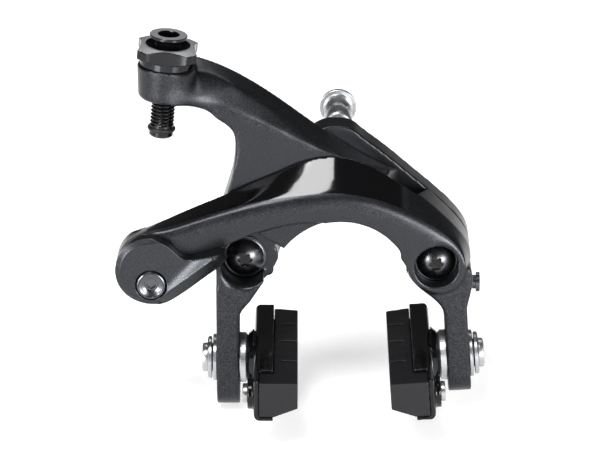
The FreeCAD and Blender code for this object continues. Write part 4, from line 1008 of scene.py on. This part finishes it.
@dataclass
class QuickRelease:
    """The quick release lever with the bolt that clamps the cable.

    Attributes:
        release, anchor: X and Z of the lever's axis and of the bolt's.
        front, cap_depth: Where the bolt's front lies, and how far the cap's face lies behind it.
        chamfer_turn, chamfer_fade: Where round the cap its chamfer lies, and how it ends, in degrees.
        tail_foot, tail_tip: X and Z of the ends of the tail's ridge line.
        tail_rise, rise_power: How far the line stands proud at the tip, and how soon it gets there.
        tail_hollow, hollow_power: Width of the hollow beside it at the tip, and its curve.
        bevel_slope: Slope of the bevel on the line's other side.
        front_normal, front_reach: Which vertices are on the tail's front, by normal and by depth.
        rim_line, socket_line: The bolt's outline at its rim, and the dish round its socket.
    """

    release: tuple[float, float] = (-50.5, -17.0)
    anchor: tuple[float, float] = (-50.3, -20.8)
    front: float = -35.0
    skin: float = 0.2
    skin_rounds: int = 3
    cap_radius: float = 9.3
    cap_depth: float = 0.4
    chamfer_width: float = 1.3
    chamfer_depth: float = 0.8
    chamfer_reach: float = 1.6
    chamfer_turn: tuple[float, float] = (75.0, 275.0)
    chamfer_fade: tuple[float, float] = (15.0, 25.0)
    tail_foot: tuple[float, float] = (-48.7, -25.2)
    tail_tip: tuple[float, float] = (-31.9, -11.0)
    tail_rise: float = 2.3
    rise_power: float = 0.7
    tail_hollow: float = 5.0
    hollow_power: float = 1.8
    bevel_slope: float = 0.8
    front_normal: float = -0.35
    front_reach: float = 2.6
    tail_rounds: int = 12
    shank_radius: float = 2.5
    shank_chamfer: float = 0.3
    head_radius: float = 3.8
    head_height: float = 2.4
    head_edge: float = 0.2
    rim_line: tuple[Ring, ...] = ((0.0, -0.3), (0.12, -0.1), (0.34, 0.0), (0.46, -0.03), (0.6, -0.22))
    socket_line: tuple[Ring, ...] = ((2.6, -0.5), (1.85, -0.68), (1.75, -0.76), (1.7, -1.1))
    hex_width: float = 2.5
    hex_depth: float = 1.9

    def shape_tail(self, lever: bpy.types.Object) -> None:
        """Gives the tail's front its hollow, its ridge line from the cap's foot to the tip, and its bevel.

        Args:
            lever: The lever's skin.
        """
        foot, tip = Vector(self.tail_foot), Vector(self.tail_tip)
        run, length = (tip - foot).normalized(), (tip - foot).length
        facing = [vertex.index for vertex in lever.data.vertices
                  if vertex.normal.y < self.front_normal and vertex.co.y / MM < self.front + self.front_reach]
        for index in facing:
            vertex = lever.data.vertices[index]
            place = Vector((vertex.co.x, vertex.co.z)) / MM - foot
            along = place.dot(run) / length
            away = run.y * -place.x + run.x * place.y
            share = max(0.0, min(1.0, along))
            rise = self.tail_rise * share ** self.rise_power
            if away >= 0:
                reach = self.tail_hollow * (0.5 + 0.5 * share)
                height = rise * max(0.0, 1 - away / reach) ** self.hollow_power
            else:
                height = rise + away * self.bevel_slope
            if along > 0 or away > 0:
                vertex.co.y = (self.front + self.cap_depth - height) * MM
        smooth(lever, self.tail_rounds)

    def chamfer_cap(self, lever: bpy.types.Object) -> None:
        """Slopes the front rim of the round cap back, from its foot round the left to its top.

        Args:
            lever: The lever's skin.
        """
        inner = self.cap_radius - self.chamfer_width
        (first, last), (fade_in, fade_out) = self.chamfer_turn, self.chamfer_fade
        for vertex in lever.data.vertices:
            dx, dz = vertex.co.x / MM - self.release[0], vertex.co.z / MM - self.release[1]
            away = math.hypot(dx, dz)
            depth = vertex.co.y / MM - (self.front + self.cap_depth)
            if away <= inner or depth > self.chamfer_reach:
                continue
            turn = math.degrees(math.atan2(dz, dx)) % 360
            fade = max(0.0, min(1.0, (turn - first) / fade_in, (last - turn) / fade_out))
            slope = min(1.0, (away - inner) / self.chamfer_width) * self.chamfer_depth
            vertex.co.y += max(0.0, slope - depth) * fade * MM

    def build(self, shop: Workshop) -> None:
        """Builds the lever and the dished bolt, and keeps what lies behind."""
        lever = shop.casting("quick_release_lever", self.skin, self.skin_rounds)
        self.shape_tail(lever)
        self.chamfer_cap(lever)
        shop.fit(lever, "quick_release_lever", Surface.LEVER, 40)
        self.build_bolt(shop)
        shop.keep("lever_retaining_ring", Surface.SCREW)
        shop.keep("cable_clamp_washer", Surface.STEEL)
        shop.keep("anchor_nut", Surface.STEEL)

    def build_bolt(self, shop: Workshop) -> None:
        """Builds the bolt with a dished head and a small hexagon socket."""
        low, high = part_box("anchor_bolt")
        start, shank, r = -(high.y - low.y) / MM, self.shank_radius, self.head_radius
        rings = [(shank - self.shank_chamfer, start), (shank, start + self.shank_chamfer),
                 (shank, -self.head_height), (r - self.head_edge, -self.head_height),
                 (r, self.head_edge - self.head_height)]
        rings += [(r - inward, height) for inward, height in self.rim_line] + list(self.socket_line)
        bolt = turned("anchor_bolt_dished", rings)
        cut_with(bolt, hexagon("socket", self.hex_width, -self.hex_depth, 1.0))
        bake_place(bolt, place_at((self.anchor[0], low.y / MM, self.anchor[1]), (0, -1, 0)))
        shop.fit(bolt, "anchor_bolt", Surface.DISHED, 28)


@dataclass
class BrakeShoe:
    """One brake shoe: domed washers, bolt, holder, rubber and retaining screw.

    The pieces are made about the middle of the leg, with +X towards the rim.
    """

    side: Side
    place: Point
    lean: float
    pitch: float = 1.0
    half_leg: float = 3.1
    dome_bore: float = 3.05
    inner_rim: float = 1.7
    inner_radius: float = 6.8
    inner_dome: float = 6.5
    inner_teeth: int = 60
    teeth_depth: float = 0.03
    outer_rim: float = 1.0
    outer_radius: float = 6.3
    outer_dome: float = 4.0
    rim_edge: float = 0.15
    dome_steps: int = 6
    cup_radius: float = 5.7
    cup_gap: float = 0.32
    cup_thickness: float = 1.15
    cup_back_edge: float = 0.3
    cup_clearance: float = 0.05
    cup_bore_clearance: float = 0.04
    cup_steps: int = 5
    bolt_radius: float = 2.5
    bolt_end: float = -8.8
    bolt_chamfer: float = 0.3
    bolt_seat: float = 0.01
    head_radius: float = 3.9
    head_height: float = 1.5
    head_foot: float = 0.1
    head_line: tuple[Ring, ...] = ((0.0, 0.5), (0.15, 0.2), (0.5, 0.0))
    head_hex: float = 4.0
    head_socket: float = 1.3
    holder_skin: float = 0.24
    pad_skin: float = 0.22
    retainer_y: float = -24.9
    retainer_start: float = 4.2
    retainer_end: float = 11.2
    retainer_shank: float = 1.25
    retainer_chamfer: Ring = (0.25, 0.3)
    retainer_radius: float = 2.65
    retainer_height: float = 1.2
    retainer_edge: float = 0.2
    retainer_hex: float = 2.0
    retainer_socket: float = 0.9

    @property
    def name(self) -> str:
        """Start of the names of this side's nodes."""
        return self.side.value + "_"

    @property
    def seat(self) -> float:
        """Height of the bolt head's underside, at the back of the cup washer."""
        return self.half_leg + self.outer_rim + self.cup_gap + self.cup_thickness

    def matrix(self) -> Matrix:
        """The shoe's place, with the mirror that the right one has."""
        pitch = Matrix.Rotation(-math.radians(self.pitch), 4, "X")
        middle = Matrix.Translation(Vector(self.place) * MM)
        if self.side is Side.LEFT:
            return middle @ pitch
        mirror = Matrix.Diagonal((-1.0, 1.0, 1.0, 1.0))
        return middle @ Matrix.Rotation(-math.radians(self.lean), 4, "Y") @ pitch @ mirror

    def settle(self, piece: bpy.types.Object, inward: bool, y: float = 0.0) -> None:
        """Turns a piece made along +Z towards the rim or away from it, and sets it on its leg.

        Args:
            piece: The piece.
            inward: True towards the rim.
            y: How far back from the shoe bolt's axis it goes.
        """
        bake_place(piece, self.matrix() @ place_at((0, y, 0), (1 if inward else -1, 0, 0)))

    def dome_line(self, ball: float, outer: float, inner: float, steps: int) -> list[Ring]:
        """Rings on a ball about the leg's middle, from one radius to another."""
        radii = [inner + (outer - inner) * i / steps for i in range(steps, -1, -1)]
        return [(r, math.sqrt(ball * ball - r * r)) for r in radii]

    def dome_rings(self, rim: float, radius: float, dome: float) -> list[Ring]:
        """The outline of a washer with a rim of some height and radius and a domed middle."""
        foot, top, edge = self.half_leg, self.half_leg + rim, self.rim_edge
        return [(self.dome_bore, foot), (radius - edge, foot), (radius, foot + edge), (radius, top - edge),
                (radius - edge, top)] + self.dome_line(math.hypot(top, dome), dome, self.dome_bore,
                                                       self.dome_steps)

    def build(self, shop: Workshop) -> None:
        """Builds every piece of the shoe."""
        teeth = Teeth(self.inner_teeth, self.teeth_depth, self.half_leg + 0.1,
                      self.half_leg + self.inner_rim - 0.1)
        inner = turned(self.name + "inner_dome_ridged",
                       self.dome_rings(self.inner_rim, self.inner_radius, self.inner_dome),
                       hollow=True, segments=240, detail=teeth)
        self.settle(inner, True)
        shop.fit(inner, self.name + "inner_dome", Surface.DOME, 40)
        outer = turned(self.name + "outer_dome_turned",
                       self.dome_rings(self.outer_rim, self.outer_radius, self.outer_dome), hollow=True)
        self.settle(outer, False)
        shop.fit(outer, self.name + "outer_dome", Surface.STEEL, 30)
        self.build_cup(shop)
        self.build_bolt(shop)
        self.build_retainer(shop)
        holder, pad = self.name + "shoe_holder", self.name + "brake_pad"
        shop.fit(shop.casting(holder, self.holder_skin, 4), holder, Surface.GLOSS, 50)
        shop.fit(shop.casting(pad, self.pad_skin, 2), pad, Surface.RUBBER, 50)

    def build_cup(self, shop: Workshop) -> None:
        """Builds the hollow washer under the bolt's head."""
        back, radius = self.seat, self.cup_radius
        face, bore = back - self.cup_thickness, self.bolt_radius + self.cup_bore_clearance
        ball = math.hypot(self.half_leg + self.outer_rim, self.outer_dome) + self.cup_clearance
        hollow = self.dome_line(ball, math.sqrt(ball * ball - face * face), bore, self.cup_steps)
        rings = [(bore, back), (radius - self.cup_back_edge, back), (radius, back - self.cup_back_edge),
                 (radius, face + self.rim_edge), (radius - self.rim_edge, face)]
        rings += [(r, min(height, back - 0.1)) for r, height in hollow]
        cup = turned(self.name + "cup_washer_turned", rings, hollow=True)
        self.settle(cup, False)
        shop.fit(cup, self.name + "cup_washer", Surface.STEEL, 30)

    def build_bolt(self, shop: Workshop) -> None:
        """Builds the bolt with a chamfered head and a hexagon socket."""
        back, r = self.seat, self.head_radius
        under, top = back + self.bolt_seat, back + self.head_height
        rings = [(self.bolt_radius - self.bolt_chamfer, self.bolt_end),
                 (self.bolt_radius, self.bolt_end + self.bolt_chamfer), (self.bolt_radius, under),
                 (r - self.head_foot, under), (r, back + self.head_foot)]
        rings += [(r - inward, top - down) for inward, down in self.head_line]
        bolt = turned(self.name + "shoe_bolt_turned", rings)
        cut_with(bolt, hexagon("socket", self.head_hex, top - self.head_socket, top + 1))
        self.settle(bolt, False)
        shop.fit(bolt, self.name + "shoe_bolt", Surface.STEEL, 28)

    def build_retainer(self, shop: Workshop) -> None:
        """Builds the small screw that keeps the rubber in."""
        name, r, shank = self.name + "pad_retaining_screw", self.retainer_radius, self.retainer_shank
        end, top = -self.retainer_end, -self.retainer_start
        under, (chamfer_in, chamfer_up) = top - self.retainer_height, self.retainer_chamfer
        rings = [(shank - chamfer_in, end), (shank, end + chamfer_up), (shank, under), (r - 0.1, under),
                 (r, under + 0.1), (r, top - self.retainer_edge), (r - self.retainer_edge, top)]
        screw = turned(name + "_turned", rings, segments=64)
        cut_with(screw, hexagon("socket", self.retainer_hex, top - self.retainer_socket, top + 1))
        self.settle(screw, False, self.retainer_y)
        shop.fit(screw, name, Surface.STEEL, 28)


@dataclass
class ReturnSpring:
    """The bent wire, in two halves.

    Attributes:
        start_share: Share of the wire's half width at which a leg would start to bend. Not used.
        below_top: How far below the wire's top that is. Not used.
        above_end: How far above its lower end a leg would go wholly with its arm. Not used.
    """

    start_share: float = 0.3
    below_top: float = 9.0
    above_end: float = 4.0

    def build(self, shop: Workshop) -> None:
        """Builds both halves."""
        node = "return_spring"
        for side, sign, arm in ((Side.LEFT, -1.0, "housing_arm"), (Side.RIGHT, 1.0, "anchor_arm")):
            half = shop.copy(node, side.value + "_spring_leg")
            bpy.ops.object.mode_set(mode="EDIT")
            bpy.ops.mesh.select_all(action="SELECT")
            bpy.ops.mesh.bisect(plane_co=(0, 0, 0), plane_no=(sign, 0, 0), use_fill=True, clear_inner=True)
            bpy.ops.object.mode_set(mode="OBJECT")
            shop.dress(half, Surface.STEEL, 40)
            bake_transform(half)
            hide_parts(node)


@dataclass
class HiddenHardware:
    """Pieces whose solids are kept as they are."""

    steel: tuple[str, ...] = ("mounting_bolt", "serrated_washer", "sync_pin", "sync_roller")
    screws: tuple[str, ...] = ("left_pivot_washer", "right_pivot_washer", "centring_screw")
    plastic: tuple[str, ...] = ("left_pivot_shim", "right_pivot_shim", "left_pivot_bush", "right_pivot_bush",
                                "left_spring_guide", "right_spring_guide")

    def build(self, shop: Workshop) -> None:
        """Gives each its finish."""
        for nodes, surface in ((self.steel, Surface.STEEL), (self.screws, Surface.SCREW),
                               (self.plastic, Surface.PLASTIC)):
            for node in nodes:
                shop.keep(node, surface)


# ---------------------------------------------------------------- studio
@dataclass(frozen=True)
class Lamp:
    """A soft lamp that looks at the caliper's middle, with its place and size in metres and its watts."""

    name: str
    place: Point
    size: tuple[float, float]
    power: float
    target: Point = (0.0, -0.02, -0.01)

    def build(self) -> None:
        """Adds the lamp."""
        data = bpy.data.lights.new(self.name, "AREA")
        data.shape = "RECTANGLE"
        data.size, data.size_y = self.size
        data.energy = self.power
        lamp = bpy.data.objects.new(self.name, data)
        bpy.context.collection.objects.link(lamp)
        lamp.location = self.place
        aim = Vector(self.target) - lamp.location
        lamp.rotation_euler = aim.to_track_quat("-Z", "Y").to_euler()


@dataclass
class Studio:
    """The pale floor, the lamps and the camera at the photograph's angle, in metres.

    Attributes:
        elevation, distance: The camera's angle above level in degrees, and how far it is from the aim.
        lens_pixels: The lens in pixels of the picture.
        aim, aim_pixel: A point of the caliper, and where the picture shows it.
        glow: The floor's own light near the caliper and in reflections.
        near, far: Distances between which that light rises to white, for the camera alone.
        ambient: The world's light. The camera sees the world white.
    """

    elevation: float = 21.5
    distance: float = 0.96
    lens_pixels: float = 3600.0
    frame: tuple[int, int] = (600, 450)
    sensor: float = 36.0
    aim: Point = (0.0, -0.020, 0.0)
    aim_pixel: tuple[float, float] = (340.5, 192.5)
    floor_height: float = -0.0605
    floor_size: float = 8.0
    floor_grey: float = 0.85
    floor_roughness: float = 0.9
    floor_specular: float = 0.1
    glow: float = 0.44
    near: float = 0.3
    far: float = 1.3
    ambient: float = 0.07
    lamps: tuple[Lamp, ...] = (Lamp("top_softbox", (-0.235, -0.45, 0.85), (0.38, 0.42), 7.9),
                               Lamp("top_fade_near", (-0.47, -0.45, 0.80), (0.09, 0.42), 1.2),
                               Lamp("top_fade_far", (-0.555, -0.45, 0.76), (0.09, 0.42), 0.5),
                               Lamp("left_softbox", (-0.80, -0.47, 0.33), (0.3, 0.35), 3.2),
                               Lamp("right_softbox", (0.70, -0.42, 0.33), (0.22, 0.35), 1.4),
                               Lamp("front_left", (-0.52, -0.62, 0.08), (0.24, 0.24), 4.0),
                               Lamp("front_right", (0.48, -0.64, 0.06), (0.22, 0.22), 3.4),
                               Lamp("front_ridge", (0.40, -0.95, 0.13), (0.36, 0.2), 4.0),
                               Lamp("low_left", (-0.185, -0.20, -0.03), (0.09, 0.05), 0.1),
                               Lamp("low_right", (0.105, -0.20, -0.03), (0.09, 0.05), 0.1),
                               Lamp("back_strip", (0.1, 0.6, 0.9), (0.8, 0.2), 2.5))

    def build(self) -> None:
        """Builds the whole set."""
        self.build_camera()
        self.build_floor()
        self.build_world()
        for lamp in self.lamps:
            lamp.build()

    def build_camera(self) -> None:
        """Sets the camera."""
        tilt = math.radians(self.elevation)
        forward = Vector((0, math.cos(tilt), -math.sin(tilt)))
        up = Vector((0, math.sin(tilt), math.cos(tilt)))
        right = Vector((1, 0, 0))
        step = self.distance / self.lens_pixels
        place = (Vector(self.aim) - forward * self.distance
                 - right * (self.aim_pixel[0] - self.frame[0] / 2) * step
                 - up * (self.frame[1] / 2 - self.aim_pixel[1]) * step)
        data = bpy.data.cameras.new("camera")
        data.sensor_width = self.sensor
        data.sensor_fit = "HORIZONTAL"
        data.lens = self.lens_pixels / self.frame[0] * self.sensor
        data.clip_start = 0.01
        camera = bpy.data.objects.new("camera", data)
        bpy.context.collection.objects.link(camera)
        camera.location = place
        camera.rotation_euler = forward.to_track_quat("-Z", "Y").to_euler()
        bpy.context.scene.camera = camera

    def build_floor(self) -> None:
        """Lays a pale floor that keeps the caliper's shadow."""
        deselect()
        bpy.ops.mesh.primitive_plane_add(size=self.floor_size, location=(0, 0, self.floor_height))
        floor = bpy.context.object
        floor.name = "floor"
        material = bpy.data.materials.new("pale_floor")
        material.use_nodes = True
        desk = NodeDesk(material.node_tree)
        shader = material.node_tree.nodes["Principled BSDF"]
        shader.inputs["Base Color"].default_value = (self.floor_grey, self.floor_grey, self.floor_grey, 1)
        shader.inputs["Roughness"].default_value = self.floor_roughness
        shader.inputs["Specular IOR Level"].default_value = self.floor_specular
        shader.inputs["Emission Color"].default_value = (1, 1, 1, 1)
        ray = desk.add("ShaderNodeLightPath").outputs
        away = desk.add("ShaderNodeVectorMath", operation="LENGTH")
        desk.join(desk.add("ShaderNodeTexCoord").outputs["Object"], away.inputs[0])
        shown = desk.math("MULTIPLY", ray["Is Camera Ray"],
                          desk.ramp(away.outputs["Value"], self.near, self.far, self.glow, 1.0))
        mirrored = desk.math("MAXIMUM", ray["Is Glossy Ray"], ray["Is Transmission Ray"])
        desk.join(desk.math("MAXIMUM", shown, desk.math("MULTIPLY", mirrored, self.glow)),
                  shader.inputs["Emission Strength"])
        floor.data.materials.append(material)

    def build_world(self) -> None:
        """Sets an even pale world, which is white where the camera looks past the floor."""
        world = bpy.data.worlds.new("pale_world")
        world.use_nodes = True
        desk = NodeDesk(world.node_tree)
        ray = desk.add("ShaderNodeLightPath").outputs
        background = world.node_tree.nodes["Background"]
        background.inputs["Color"].default_value = (1, 1, 1, 1)
        desk.join(desk.ramp(ray["Is Camera Ray"], 0.0, 1.0, self.ambient, 1.0), background.inputs["Strength"])
        bpy.context.scene.world = world


def main() -> None:
    """Builds the caliper's looks in order, then the studio."""
    logging.basicConfig(level=logging.INFO, format="%(asctime)s %(name)s: %(message)s")
    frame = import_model()
    shop = Workshop(frame)
    for part in (Arms(),
                 PivotScrew(Side.LEFT, (-25.5, -22.8, -17.2), 10.8),
                 PivotScrew(Side.RIGHT, (25.5, -25.8, -17.2), 13.8),
                 ForkBolt(), CableAdjuster(), QuickRelease(),
                 BrakeShoe(Side.LEFT, (-30.1, -23.6, -46.2), 0.0),
                 BrakeShoe(Side.RIGHT, (31.8, -23.6, -45.2), 3.9),
                 ReturnSpring(), HiddenHardware()):
        part.build(shop)
        LOG.info("%s done", type(part).__name__)
    Studio().build()
    bpy.context.scene.view_settings.view_transform = "Standard"


if __name__ == "__main__":
    main()
